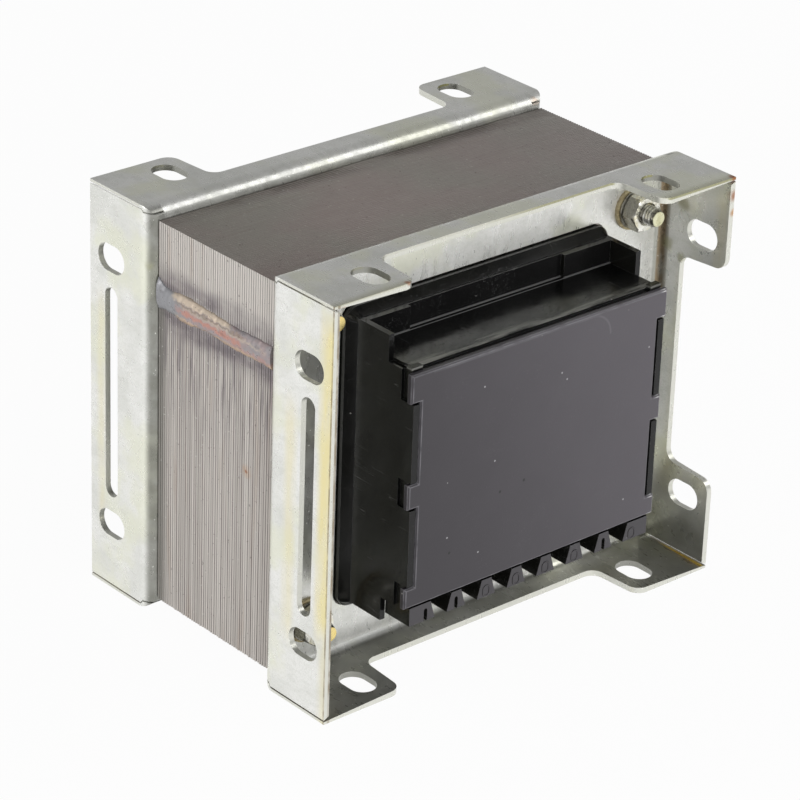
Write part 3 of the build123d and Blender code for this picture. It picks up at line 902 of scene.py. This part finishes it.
def refined(node: Piece, name: str, material: Material, width: float, cutter: Piece | None = None) -> Piece:
    """Copy a CAD node's shape and round its sharp edges.

    Args:
        node: The CAD node's object.
        name: The new piece's name.
        material: Its finish.
        width: The rounding's width in millimetres.
        cutter: A closed piece whose shape is cut out first, and then removed.

    Returns:
        The piece, with the value rounded_edge on its faces.
    """
    bm = bmesh.new()
    bm.from_mesh(node.data)
    bmesh.ops.remove_doubles(bm, verts=bm.verts, dist=0.002 * MM)
    bmesh.ops.dissolve_limit(bm, angle_limit=math.radians(0.6), verts=bm.verts, edges=bm.edges)
    piece = piece_from(name, bm, material)
    if cutter:
        modify(piece, "BOOLEAN", operation="DIFFERENCE", solver="EXACT", object=cutter)
        bpy.data.objects.remove(cutter)
    dress(piece.data, material, bpy.data.materials.new("edge_mark"))
    limit = {"limit_method": "ANGLE", "angle_limit": math.radians(32)}
    modify(piece, "BEVEL", width=width * MM, segments=2, material=1, **limit)
    mesh = piece.data
    paint(mesh, "rounded_edge", [float(face.material_index == 1) for face in mesh.polygons], "FACE")
    mesh.polygons.foreach_set("material_index", [0] * len(mesh.polygons))
    bpy.data.materials.remove(mesh.materials[1])
    dress(mesh, material)
    mesh.shade_smooth()
    mesh.set_sharp_from_angle(angle=math.radians(27))
    modify(piece, "WEIGHTED_NORMAL", keep_sharp=True)
    return piece


class RepeatTree(Wiring):
    """A Geometry Nodes tree that repeats the mesh it stands on, with its sizes as named inputs."""

    def __init__(self, name: str) -> None:
        """Start a tree, named by what it makes."""
        super().__init__(bpy.data.node_groups.new(name, "GeometryNodeTree"))
        for socket, way in (("Geometry", "OUTPUT"), ("Piece", "INPUT")):
            self.tree.interface.new_socket(socket, in_out=way, socket_type="NodeSocketGeometry")
        self.start = self.node("NodeGroupInput")
        self.settings: dict[str, object] = {}

    def size(self, name: str, value: object) -> Socket:
        """Add a named input of the value's own kind, which the modifier sets to it, and give its socket."""
        kind = {int: "Int", float: "Float", tuple: "Vector"}.get(type(value), "Material")
        item = self.tree.interface.new_socket(name, in_out="INPUT", socket_type=f"NodeSocket{kind}")
        self.settings[item.identifier] = value
        return self.start.outputs[name]

    def row(self, count: int, first: Point, step: Point) -> Socket:
        """Give a straight row of points."""
        return self.node("GeometryNodeMeshLine", {
            "Count": self.size("Count", count),
            "Start Location": self.size("First Place", first),
            "Offset": self.size("Step", step),
        }).outputs["Mesh"]

    def scatter(self, points: Socket, **fields: Value) -> Socket:
        """Put the piece on each point; the fields turn it, scale it or choose the points."""
        inputs = {"Points": points, "Instance": self.start.outputs["Piece"], **fields}
        return self.node("GeometryNodeInstanceOnPoints", inputs).outputs["Instances"]

    def run(self, piece: Piece, instances: Socket, material: Material) -> None:
        """Close the tree with Realize Instances and Set Material, and make its result the piece's mesh."""
        real = self.node("GeometryNodeRealizeInstances", {"Geometry": instances}).outputs["Geometry"]
        dress = {"Geometry": real, "Material": self.size("Finish", material)}
        dressed = self.node("GeometryNodeSetMaterial", dress).outputs["Geometry"]
        self.node("NodeGroupOutput", {"Geometry": dressed})
        modifier = piece.modifiers.new(self.tree.name, "NODES")
        modifier.node_group = self.tree
        for identifier, value in self.settings.items():
            modifier[identifier] = value
        settle(piece)


# Sub-assemblies


@dataclass
class LaminatedCore:
    """The stack of thin E and I sheets, in millimetres."""

    finish: Material
    sixth: float = 16.0
    sharp_angle: float = 60.0
    sheet_count: int = 52
    stack_depth: float = 34.0
    sheet_gap: float = 0.03
    hole_radius: float = 2.75
    hole_sides: int = 12
    edge_roll: float = 0.13
    edge_inset: float = 0.09
    group_scale: float = 420.0

    def inset(self, outline: Outline, amount: float) -> Outline:
        """Move each side of an upright, anticlockwise outline inwards."""
        moved = []
        for before, here, after in zip(outline[-1:] + outline[:-1], outline, outline[1:] + outline[:1]):
            first = (Vector(here) - Vector(before)).normalized()
            second = (Vector(after) - Vector(here)).normalized()
            inward = Vector((-first.y, first.x)) + Vector((-second.y, second.x))
            moved.append(tuple(Vector(here) + inward * amount))
        return moved

    def sheet(self, name: str, outline: Outline, holes: Outline) -> Piece:
        """Build one punched sheet with rolled edges.

        Args:
            name: The piece's name.
            outline: Its corners across and up, anticlockwise seen from the front.
            holes: Centres of its bolt holes.

        Returns:
            The sheet, standing on Y = 0.
        """
        bm = bmesh.new()
        edge = bm.verts.layers.float.new("sheet_edge")

        def layer(points: Outline, depth: float, share: float = 0.0) -> list[bmesh.types.BMVert]:
            """Add a ring of points at a depth, marked with its share of the edge."""
            ring = [bm.verts.new(Vector((across, depth, up)) * MM) for across, up in points]
            for vertex in ring:
                vertex[edge] = share
            return ring

        thickness = self.stack_depth / self.sheet_count - self.sheet_gap
        layers = ((0.0, 1.0), (self.edge_roll, 0.0), (thickness - self.edge_roll, 0.0), (thickness, 1.0))
        loops = [[
            layer(self.inset(outline, share * self.edge_inset), depth, share) for depth, share in layers
        ]]
        angles = [math.tau * step / self.hole_sides for step in range(self.hole_sides)]
        for across, up in holes:
            spots = [
                (across + self.hole_radius * math.cos(angle), up + self.hole_radius * math.sin(angle))
                for angle in angles
            ]
            loops.append([layer(spots, depth) for depth in (0.0, thickness)])
        for loop in loops:
            for near, far in zip(loop, loop[1:]):
                bridge(bm, near, far)
        for end in (0, -1):
            corners = [vertex for loop in loops for vertex in loop[end]]
            flat = [[Vector((v.co.x, v.co.z, 0)) for v in loop[end]] for loop in loops]
            for triangle in tessellate_polygon(flat):
                bm.faces.new([corners[i] for i in triangle])
        return piece_from(name, bm, self.finish, self.sharp_angle)

    def stack(self, piece: Piece, base: float, looseness: float, grouping: float, seed: int) -> None:
        """Repeat a sheet through the stack, each a little smaller or darker than the next.

        Args:
            piece: The single sheet.
            base: The height of its own middle over the mounting plane.
            looseness: The most that a sheet shrinks, as a share of its size.
            grouping: How much neighbouring sheets share one tone, from 0 to 1.
            seed: The seed for the shrinking.
        """
        tree = RepeatTree(f"{piece.name} stack")
        first = (0.0, (self.sheet_gap - self.stack_depth) / 2 * MM, base * MM)
        step = (0.0, self.stack_depth / self.sheet_count * MM, 0.0)
        places = tree.row(self.sheet_count, first, step)
        shrink = tree.value("FunctionNodeRandomValue", 1, {"Seed": tree.size("Seed", seed)})
        loose = shrink * tree.size("Looseness", looseness)
        scale = tree.value("ShaderNodeMath", 0, {0: 1.0, 1: loose}, operation="SUBTRACT")
        sizes = tree.value("ShaderNodeCombineXYZ", 0, {0: scale, 1: 1.0, 2: scale})
        sheets = tree.scatter(places, Scale=sizes)
        place = tree.value("GeometryNodeInputPosition", 0)
        noise = {"Vector": place, "Scale": self.group_scale, "Detail": 2.0}
        tone = tree.value("ShaderNodeMix", 0, {
            0: tree.size("Grouping", grouping),
            2: tree.value("FunctionNodeRandomValue", 1),
            3: tree.value("ShaderNodeTexNoise", 0, noise),
        })
        toned = {"Geometry": sheets, "Name": "sheet_tone", "Value": tone}
        stored = tree.node("GeometryNodeStoreNamedAttribute", toned, domain="INSTANCE")
        tree.run(piece, stored.outputs["Geometry"], self.finish)

    def build(self) -> None:
        """Build both parts of the core."""
        wide, leg, window, half = 3 * self.sixth, self.sixth, 2 * self.sixth, self.sixth / 2
        low, joint, high = -2.5 * self.sixth, 1.5 * self.sixth, 2.5 * self.sixth
        floor = low + self.sixth
        outline = [
            (-wide, low), (wide, low), (wide, joint), (window, joint), (window, floor), (leg, floor),
            (leg, joint), (-leg, joint), (-leg, floor), (-window, floor), (-window, joint), (-wide, joint),
        ]
        bolts = 2.5 * self.sixth
        lower = self.sheet("e_sheets", outline, [(-bolts, low + half), (bolts, low + half)])
        self.stack(lower, CORE_MIDDLE, 0.0016, 0.55, 7)
        bar = [(-wide, -half), (wide, -half), (wide, half), (-wide, half)]
        upper = self.sheet("i_sheets", bar, [(-bolts, 0.0), (bolts, 0.0)])
        self.stack(upper, CORE_MIDDLE + (joint + high) / 2, 0.0005, 0.15, 3)
        hand_over(lower, "core_sheet", "e_laminations")
        hand_over(upper, "core_sheet", "i_laminations")


@dataclass
class WeldBeads:
    """A rippled weld run on each side face, over the joint of the E and I sheets."""

    finish: Material
    face: float = 48.0
    height: float = 67.4
    half_width: float = 2.3
    proud: float = 0.68
    half_length: float = 16.95
    ripple_pitch: float = 1.3
    buried: float = 0.25
    along_steps: int = 150
    across_steps: int = 16

    def point(self, hand: Hand, along: float, across: float, phase: float) -> Vector:
        """Give a point of the bead's back.

        Args:
            hand: Which side face it is on.
            along: From -1 at the front to 1 at the rear.
            across: From -1 at the lower border to 1 at the upper one.
            phase: Shift of its waves.

        Returns:
            The point in millimetres.
        """
        y = along * self.half_length
        wave = math.sin(1.9 * y + phase) + 0.6 * math.sin(3.7 * y + 2.1 * phase)
        wave += 0.35 * math.sin(7.3 * y - phase)
        flare = math.exp(-((along - 1) / 0.10) ** 2)
        width = self.half_width + 0.06 * wave + 0.85 * flare + 0.55 * math.exp(-((y - 8.5) / 3.2) ** 2)
        drift = 0.16 * math.sin(0.37 * y + phase) + 0.2 * along + 0.3 * flare
        bulge = max(0.0, 1 - abs(across) ** 2.6)
        ripple = math.sin(math.tau * (y + 0.9 * across * across) / self.ripple_pitch + phase)
        rise = self.proud * bulge * (0.86 + 0.05 * ripple + 0.03 * wave * across)
        x = self.face + min(self.proud, rise)
        return Vector((hand.value * x, y, self.height + drift + across * width))

    def build(self) -> None:
        """Build both beads."""
        for hand, phase in ((Hand.LEFT, 0.6), (Hand.RIGHT, 2.9)):
            rings = []
            for step in range(self.along_steps + 1):
                along = 2 * step / self.along_steps - 1
                spots = [2 * i / self.across_steps - 1 for i in range(self.across_steps + 1)]
                back = [self.point(hand, along, across, phase) for across in spots]
                under = hand.value * (self.face - self.buried)
                rings.append(back + [Vector((under, back[end].y, back[end].z)) for end in (-1, 0)])
            name = hand.name.lower()
            piece = piece_from(f"weld_{name}", ring_solid(rings), self.finish, 70.0)
            hand_over(piece, "weld_metal", f"weld_bead_{name}")


@dataclass
class EndFrames:
    """The two folded frames, rounded at their edges and mitred at their seams."""

    finish: Material
    nodes: dict[str, Piece]
    rounding: float = 0.17
    slant: float = 0.75
    plate_end: float = 18.3
    bend_end: float = 20.8
    flange_x: float = 48.3
    flange_z: float = 41.05
    seam_x: float = 49.7
    seam_low: float = 40.9
    seam_high: float = 41.4
    mitre: float = 0.62
    slot_x: float = 36.0
    slot_y: float = 29.4
    slot_half_width: float = 2.9
    slot_half_length: float = 4.2

    def cut_kind(self, face: bpy.types.MeshPolygon) -> float:
        """Give 0 for a rolled face, 1 for a sheared edge and 2 for the wall of a hole in a level flange."""
        x, y = abs(face.center.x) / MM, abs(face.center.y) / MM
        up = abs(face.center.z / MM - CORE_MIDDLE)
        across, along, upright = (abs(part) for part in face.normal)
        if y < self.plate_end:
            return float(along < 0.5 and x < self.flange_x and up < self.flange_z)
        if y < self.bend_end:
            return 0.0
        if up > self.flange_z:
            beside, ahead = abs(x - self.slot_x), abs(y - self.slot_y)
            hole = beside < self.slot_half_width and ahead < self.slot_half_length
            return float(upright < self.slant) * (1.0 + hole)
        return float(across < self.slant)

    def mitre_seams(self, node: Piece) -> Piece:
        """Copy a frame and lift the outer side of each seam, so that the flanges meet on a slant."""
        copy = bpy.data.objects.new(f"{node.name}_mitred", node.data.copy())
        for vertex in copy.data.vertices:
            x, up = abs(vertex.co.x) / MM, vertex.co.z / MM - CORE_MIDDLE
            if x > self.seam_x and self.seam_low < abs(up) < self.seam_high:
                vertex.co.z += math.copysign(self.mitre, up) * MM
        return copy

    def build(self) -> None:
        """Build both frames."""
        for side in Side:
            name = f"{side.name.lower()}_frame"
            shape = self.mitre_seams(self.nodes[name])
            piece = refined(shape, f"{name}_sheet", self.finish, self.rounding)
            bpy.data.objects.remove(shape)
            paint(piece.data, "cut_edge", [self.cut_kind(face) for face in piece.data.polygons], "FACE")
            hand_over(piece, "zinc_sheet", name)


@dataclass
class CoilPack:
    """The wound coil inside the hoods: its CAD shapes keep their place and get their own finishes."""

    finishes: Finishes
    nodes: dict[str, Piece]

    def build(self) -> None:
        """Give each node its finish."""
        dressed = {
            "coil_former": self.finishes.hood, "primary_winding": self.finishes.copper,
            "interlayer_insulation": self.finishes.film, "secondary_winding": self.finishes.copper,
            "outer_wrap": self.finishes.film, "terminal_tags": self.finishes.tinned,
            "winding_leads": self.finishes.tinned,
        }
        for name, material in dressed.items():
            dress(self.nodes[name].data, material)
            log.info("%s: CAD node with %s", name, material.name)


@dataclass
class TerminalHood:
    """The moulded hood with its comb, and the snapped-on cover."""

    finishes: Finishes
    nodes: dict[str, Piece]
    rounding: float = 0.18
    cover_rounding: float = 0.12
    post_pitch: float = 7.6
    post_face: float = 37.2
    post_count: int = 8
    slot_posts: tuple[int, ...] = (0, 1, 6)
    mark_height: float = 16.0
    mark_rise: float = 0.1
    mark_bevel: float = 0.12
    mark_sides: int = 16
    slot_size: tuple[float, float] = (0.85, 2.6)
    slot_reach: tuple[float, float] = (-1.0, 1.2)
    ring_size: tuple[float, float] = (2.0, 2.6)
    ring_line: float = 0.36

    def stadium(self, size: tuple[float, float], depth: float, larger: float = 0.0) -> list[Vector]:
        """Give the outline of an upright round-ended mark, about its own middle.

        Args:
            size: Its width and length.
            depth: Its place along Y.
            larger: What is added to both.

        Returns:
            The outline.
        """
        width, length = (part + larger for part in size)
        half, straight = width / 2, (length - width) / 2
        points = []
        for step in range(self.mark_sides):
            angle = math.tau * (step + 0.5) / self.mark_sides
            lift = math.copysign(straight, math.sin(angle))
            points.append(Vector((half * math.cos(angle), depth, half * math.sin(angle) + lift)))
        return points

    def marks(self, name: str, bm: Shape, posts: tuple[int, ...]) -> Piece:
        """Repeat one mark on some of the comb's posts.

        Args:
            name: The piece's name.
            bm: The mark about its own middle.
            posts: Numbers of the posts that carry it, from 0 at the left.

        Returns:
            The piece with every mark.
        """
        piece = piece_from(name, bm, self.finishes.hood)
        tree = RepeatTree(name)
        left = -self.post_pitch * (self.post_count - 1) / 2
        first = (left * MM, -self.post_face * MM, self.mark_height * MM)
        places = tree.row(self.post_count, first, (self.post_pitch * MM, 0.0, 0.0))
        index = tree.value("GeometryNodeInputIndex", 0)
        wanted: Value | bool = False
        for post in posts:
            pair = {"A": index, "B": tree.size(f"Post {post}", post)}
            same = tree.value("FunctionNodeCompare", 0, pair, data_type="INT", operation="EQUAL")
            wanted = tree.value("FunctionNodeBooleanMath", 0, {0: same, 1: wanted}, operation="OR")
        tree.run(piece, tree.scatter(places, Selection=wanted), self.finishes.hood)
        return piece

    def build(self) -> None:
        """Build the hood, its marks and the cover."""
        slot = ring_solid([self.stadium(self.slot_size, depth) for depth in self.slot_reach])
        cutter = self.marks("post_slots", slot, self.slot_posts)
        shell = self.nodes["terminal_hood"]
        hood = refined(shell, "terminal_hood_shell", self.finishes.hood, self.rounding, cutter)
        hand_over(hood, "black_moulding", "terminal_hood")
        outer, inner = self.ring_size, tuple(part - 2 * self.ring_line for part in self.ring_size)
        root, rise, bevel = 0.1, -self.mark_rise, self.mark_bevel
        ring = ring_solid([
            self.stadium(outer, root), self.stadium(outer, rise / 2), self.stadium(outer, rise, -bevel),
            self.stadium(inner, rise, bevel), self.stadium(inner, rise / 2), self.stadium(inner, root),
        ], loop=True)
        others = tuple(post for post in range(self.post_count) if post not in self.slot_posts)
        hand_over(self.marks("post_rings", ring, others), "black_moulding")
        plate = self.nodes["front_cover"]
        cover = refined(plate, "front_cover_plate", self.finishes.cover, self.cover_rounding)
        hand_over(cover, "cover_moulding", "front_cover")


@dataclass
class RearHood:
    """The plain closed hood over the rear coil end."""

    finishes: Finishes
    nodes: dict[str, Piece]
    rounding: float = 0.2

    def build(self) -> None:
        """Build the hood."""
        hood = refined(self.nodes["rear_hood"], "rear_hood_shell", self.finishes.hood, self.rounding)
        hand_over(hood, "black_moulding", "rear_hood")


@dataclass
class Fasteners:
    """Four M4 bolts with their nuts and washers, one at each corner, in millimetres."""

    finishes: Finishes
    spacing_x: float = 80.0
    spacing_z: float = 64.0
    bolt_radius: float = 2.0
    bolt_sides: int = 24
    thread_pitch: float = 0.7
    thread_height: float = 0.34
    thread_length: float = 6.6
    thread_steps: int = 7
    bolt_tip: float = -25.8
    bolt_lift: float = 0.6
    head_seat: float = 18.2
    head_height: float = 2.8
    hex_flats: float = 7.0
    hex_sides: int = 48
    rim_inset: float = 0.1
    tip_insets: tuple[float, float] = (0.75, 0.5)
    tip_edge: float = 0.04
    nut_seat: float = -19.4
    nut_height: float = 3.2
    nut_play: float = 0.02
    countersink: float = 0.35
    washer_radius: float = 4.0
    washer_thickness: float = 0.5
    washer_rim: float = 0.1
    washer_sides: int = 36
    fibre_radius: float = 4.5
    fibre_thickness: float = 0.7
    fibre_rim: float = 0.06
    plate_face: float = -18.2
    bore_play: float = 0.15

    def spot(self, radius: float, y: float, i: int, sides: int) -> Vector:
        """Give one point of a ring about the bolt's axis."""
        angle = math.tau * i / sides
        return Vector((radius * math.sin(angle), y, radius * math.cos(angle)))

    def circle(self, radius: float, y: float, sides: int) -> list[Vector]:
        """Give a ring of points about the bolt's axis."""
        return [self.spot(radius, y, i, sides) for i in range(sides)]

    def hexagon(self, y: float, inset: float = 0.0, drop: float = 0.0) -> list[Vector]:
        """Give a ring on a hexagon's side whose corners are cut back by a turned chamfer.

        Args:
            y: The ring's place along the axis.
            inset: How far the ring lies inside the hexagon.
            drop: How far the corners fall back along Y.

        Returns:
            The ring.
        """
        ring = []
        inner = self.hex_flats / 2
        for i in range(self.hex_sides):
            angle = math.tau * i / self.hex_sides
            sixth = (angle + math.pi / 6) % (math.pi / 3) - math.pi / 6
            radius = inner / math.cos(sixth)
            cut = max(0.0, radius - inner) * math.tan(math.radians(30)) * drop
            ring.append(self.spot(radius - inset, y + cut, i, self.hex_sides))
        return ring

    def thread(self) -> list[list[Vector]]:
        """Give the rings of a real thread, which fades in at the tip and out at its end."""
        sides, steps = self.bolt_sides, self.thread_steps
        count = int(self.thread_length / self.thread_pitch * steps)
        rings = []
        for row in range(1, count):
            y = self.bolt_tip + row * self.thread_pitch / steps
            fade = min(1.0, (count - row) / steps)
            lead = min(1.0, 0.05 + row / (1.8 * steps))
            ring = []
            for i in range(sides):
                turn = (y / self.thread_pitch - i / sides) % 1.0
                depth = self.thread_height * (1 - abs(2 * turn - 1)) ** 1.2 * fade
                ring.append(self.spot(self.bolt_radius - max(depth, 0.55 * (1 - lead)), y, i, sides))
            rings.append(ring)
        return rings

    def bolt(self) -> Piece:
        """Build a bolt with a real thread at its front end and a chamfered head at the rear."""
        sides, hexes, radius, tip = self.bolt_sides, self.hex_sides, self.bolt_radius, self.bolt_tip
        end, seat, flats = tip + self.thread_length, self.head_seat, self.hex_flats / 2
        head = seat + self.head_height
        bm = ring_solid([
            self.circle(radius - self.tip_insets[0], tip, sides),
            self.circle(radius - self.tip_insets[1], tip + self.tip_edge, sides),
            *self.thread(), self.circle(radius, end, sides), self.circle(radius, seat, sides),
        ])
        block = ring_solid([
            self.hexagon(seat, 0.12), self.hexagon(seat + 0.1),
            self.hexagon(head - 0.22, 0.0, -1.0), self.hexagon(head - 0.05, 0.14, -1.0),
            self.circle(flats - 0.3, head, hexes), self.circle(flats - 1.3, head - 0.06, hexes),
        ])
        part = mesh_from("head", block)
        bm.from_mesh(part)
        bpy.data.meshes.remove(part)
        piece = piece_from("bolts", bm, self.finishes.steel, 38.0)
        roots = []
        for vertex in piece.data.vertices:
            reach = math.hypot(vertex.co.x, vertex.co.z) / MM
            threaded = tip + 0.1 < vertex.co.y / MM < end
            roots.append(min(1.0, (radius - reach) / self.thread_height) if threaded else 0.0)
        paint(piece.data, "thread_root", roots, "POINT")
        return piece

    def nut(self) -> Piece:
        """Build a nut with both ends chamfered and a countersunk bore."""
        back, front, sides = self.nut_seat, self.nut_seat - self.nut_height, self.hex_sides
        bore, sink = self.bolt_radius + self.nut_play, self.countersink
        rim = self.hex_flats / 2 - self.rim_inset
        return piece_from("nuts", ring_solid([
            self.circle(bore, back - sink, sides), self.circle(bore + sink, back, sides),
            self.circle(rim, back, sides),
            self.hexagon(back - 0.08, self.rim_inset, -1.0), self.hexagon(back - 0.2, 0.0, -1.0),
            self.hexagon(front + 0.2, 0.0, 1.0), self.hexagon(front + 0.08, self.rim_inset, 1.0),
            self.circle(rim, front, sides), self.circle(bore + sink, front, sides),
            self.circle(bore, front + sink, sides),
        ], loop=True), self.finishes.steel, 38.0)

    def washer(self, name: str, size: Point, seat: float, material: Material) -> Piece:
        """Build a washer on the middle of the pattern.

        Args:
            name: The piece's name.
            size: Its outer radius, its thickness towards the front and how much its rims are rounded.
            seat: The place of its rear face.
            material: Its finish.

        Returns:
            The washer.
        """
        outer, thickness, edge = size
        inner, front = self.bolt_radius + self.bore_play, seat - thickness
        profile = (
            (inner, seat - edge), (inner + edge, seat), (outer - edge, seat), (outer, seat - edge),
            (outer, front + edge), (outer - edge, front), (inner + edge, front), (inner, front + edge),
        )
        rings = [self.circle(radius, y, self.washer_sides) for radius, y in profile]
        return piece_from(name, ring_solid(rings, loop=True), material, 30.0)

    def at_corners(self, piece: Piece, material: Material, turn: float, seed: int) -> None:
        """Repeat a piece at the four corners.

        Args:
            piece: The piece about the pattern's middle.
            material: Its finish.
            turn: The most that a corner's piece is turned, in degrees.
            seed: The seed for the turns.
        """
        tree = RepeatTree(f"{piece.name} at four corners")
        grid = tree.node("GeometryNodeMeshGrid", {
            "Size X": tree.size("Spacing Across", self.spacing_x * MM),
            "Size Y": tree.size("Spacing Upright", self.spacing_z * MM),
            "Vertices X": 2, "Vertices Y": 2,
        }).outputs["Mesh"]
        middle = tree.size("Middle", (0.0, 0.0, (CORE_MIDDLE + self.bolt_lift) * MM))
        upright = (math.radians(90), 0, 0)
        placed = {"Geometry": grid, "Translation": middle, "Rotation": upright}
        points = tree.node("GeometryNodeTransform", placed).outputs["Geometry"]
        limits = {3: tree.size("Most Turn", math.radians(turn)), "Seed": tree.size("Seed", seed)}
        spin = tree.value("ShaderNodeCombineXYZ", 0, {1: tree.value("FunctionNodeRandomValue", 1, limits)})
        tree.run(piece, tree.scatter(points, Rotation=spin), material)

    def build(self) -> None:
        """Build all the fasteners."""
        steel, fibre = self.finishes.steel, self.finishes.fibre
        fibre_face = self.plate_face - self.fibre_thickness
        plain = self.washer_radius, self.washer_thickness, self.washer_rim
        soft = self.fibre_radius, self.fibre_thickness, self.fibre_rim
        bolt, nut = self.bolt(), self.nut()
        under_nuts = self.washer("washers_steel", plain, fibre_face, steel)
        on_plate = self.washer("washers_fibre", soft, self.plate_face, fibre)
        for piece, material, turn, seed, slot, node in (
            (bolt, steel, 60.0, 4, "fastener_steel", "through_bolts"),
            (nut, steel, 60.0, 11, "fastener_steel", "hex_nuts"),
            (under_nuts, steel, 360.0, 2, "fastener_steel", "steel_washers"),
            (on_plate, fibre, 360.0, 5, "fibre_board", "fibre_washers"),
        ):
            self.at_corners(piece, material, turn, seed)
            hand_over(piece, slot, node)


@dataclass
class Studio:
    """A pale floor, soft lamps, an even sky and the photograph's camera, in millimetres and degrees."""

    azimuth: float = -41.543
    elevation: float = 26.169
    roll: float = 2.081
    distance: float = 709.261
    slide_right: float = -1.577
    slide_up: float = -3.985
    lens: float = 164.2025
    sensor: float = 36.0
    floor_radius: float = 3.0
    floor_tone: Colour = (0.95, 0.95, 0.95)
    floor_glow: float = 0.96
    white: Colour = (1.0, 1.0, 1.0)
    sky: tuple[tuple[float, float], ...] = (
        (0.02, 1.0), (1.0, 0.16), (0.14, 0.44), (0.52, 0.38), (0.80, 0.20),
    )
    lamps: tuple[tuple[str, float, float, float, float, float], ...] = (
        ("left", -96.0, 4.0, 900.0, 520.0, 3.4),
        ("front", -8.0, 4.0, 950.0, 600.0, 5.8),
        ("high", 53.0, 42.0, 950.0, 520.0, 1.7),
    )

    def direction(self, azimuth: float, elevation: float) -> Vector:
        """Give the unit vector from the object towards a place round it, 0 degrees being the front."""
        a, e = math.radians(azimuth), math.radians(elevation)
        return Vector((math.sin(a) * math.cos(e), -math.cos(a) * math.cos(e), math.sin(e)))

    def set_camera(self) -> None:
        """Put the camera where the photograph was taken from."""
        back = self.direction(self.azimuth, self.elevation)
        right = Vector((0, 0, 1)).cross(back).normalized()
        up = back.cross(right)
        turn = math.radians(self.roll)
        cosine, sine = math.cos(turn), math.sin(turn)
        right, up = right * cosine + up * sine, up * cosine - right * sine
        place = back * self.distance + right * self.slide_right + up * self.slide_up
        place += Vector((0, 0, CORE_MIDDLE))
        data = bpy.data.cameras.new("camera")
        data.lens = self.lens
        data.sensor_width = self.sensor
        data.clip_start = 0.01
        camera = linked("camera", data)
        axes = Matrix((right, up, back)).transposed()
        camera.matrix_world = Matrix.Translation(place * MM) @ axes.to_4x4()
        bpy.context.scene.camera = camera

    def set_lamps(self) -> None:
        """Hang the soft lamps."""
        for name, azimuth, elevation, distance, size, power in self.lamps:
            data = bpy.data.lights.new(name, "AREA")
            data.shape = "DISK"
            data.size = size * MM
            data.energy = power
            lamp = linked(name, data)
            way = self.direction(azimuth, elevation)
            lamp.location = (way * distance + Vector((0, 0, CORE_MIDDLE))) * MM
            lamp.rotation_euler = way.to_track_quat("Z", "Y").to_euler()

    def set_sky(self) -> None:
        """Make the surroundings white to the camera, white at the horizon and greyer above."""
        world = bpy.data.worlds.new("studio")
        world.use_nodes = True
        tree = Wiring(world.node_tree)
        place = tree.node("ShaderNodeTexCoord").outputs["Generated"]
        height = tree.node("ShaderNodeSeparateXYZ", {0: place}).outputs[2]
        ramp = tree.node("ShaderNodeValToRGB", {0: height})
        elements = ramp.color_ramp.elements
        for number, (position, level) in enumerate(self.sky):
            element = elements[number] if number < 2 else elements.new(position)
            element.position = position
            element.color = (level, level, level, 1.0)
        direct = tree.node("ShaderNodeLightPath").outputs["Is Camera Ray"]
        light = tree.node("ShaderNodeBackground", {"Color": ramp.outputs["Color"]}).outputs[0]
        white = tree.node("ShaderNodeBackground", {"Color": self.white}).outputs[0]
        mix = tree.node("ShaderNodeMixShader", {0: direct, 1: light, 2: white}).outputs[0]
        tree.node("ShaderNodeOutputWorld", {"Surface": mix})
        bpy.context.scene.world = world

    def set_floor(self) -> None:
        """Lay the floor, white to the camera, reflections and clear pieces, and pale to the light."""
        bm = bmesh.new()
        bmesh.ops.create_circle(bm, cap_ends=True, segments=64, radius=self.floor_radius)
        mesh = mesh_from("floor", bm)
        material = bpy.data.materials.new("floor")
        material.use_nodes = True
        tree = Wiring(material.node_tree)
        path = tree.node("ShaderNodeLightPath").outputs
        rays = [Value(tree, path[f"Is {name} Ray"]) for name in ("Camera", "Glossy", "Transmission")]
        seen = reduce(Value.__or__, rays) * self.floor_glow
        chalk = tree.node("ShaderNodeBsdfDiffuse", {"Color": self.floor_tone}).outputs[0]
        glow = tree.node("ShaderNodeEmission", {"Color": self.white}).outputs[0]
        mix = tree.node("ShaderNodeMixShader", {0: seen, 1: chalk, 2: glow}).outputs[0]
        tree.node("ShaderNodeOutputMaterial", {"Surface": mix})
        mesh.materials.append(material)
        linked("floor", mesh)

    def build(self) -> None:
        """Set up the whole studio."""
        self.set_camera()
        self.set_lamps()
        self.set_sky()
        self.set_floor()
        bpy.context.scene.view_settings.view_transform = "Standard"


def main() -> None:
    """Build the pieces in order and report each."""
    logging.basicConfig(level=logging.INFO, format="%(name)s: %(message)s")
    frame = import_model()
    nodes = frame["nodes"]
    finishes = Finishes.make()
    for assembly in (
        Studio(),
        LaminatedCore(finishes.core),
        WeldBeads(finishes.weld),
        EndFrames(finishes.zinc, nodes),
        CoilPack(finishes, nodes),
        TerminalHood(finishes, nodes),
        RearHood(finishes, nodes),
        Fasteners(finishes),
    ):
        log.info("building %s", type(assembly).__name__)
        assembly.build()


if __name__ == "__main__":
    main()
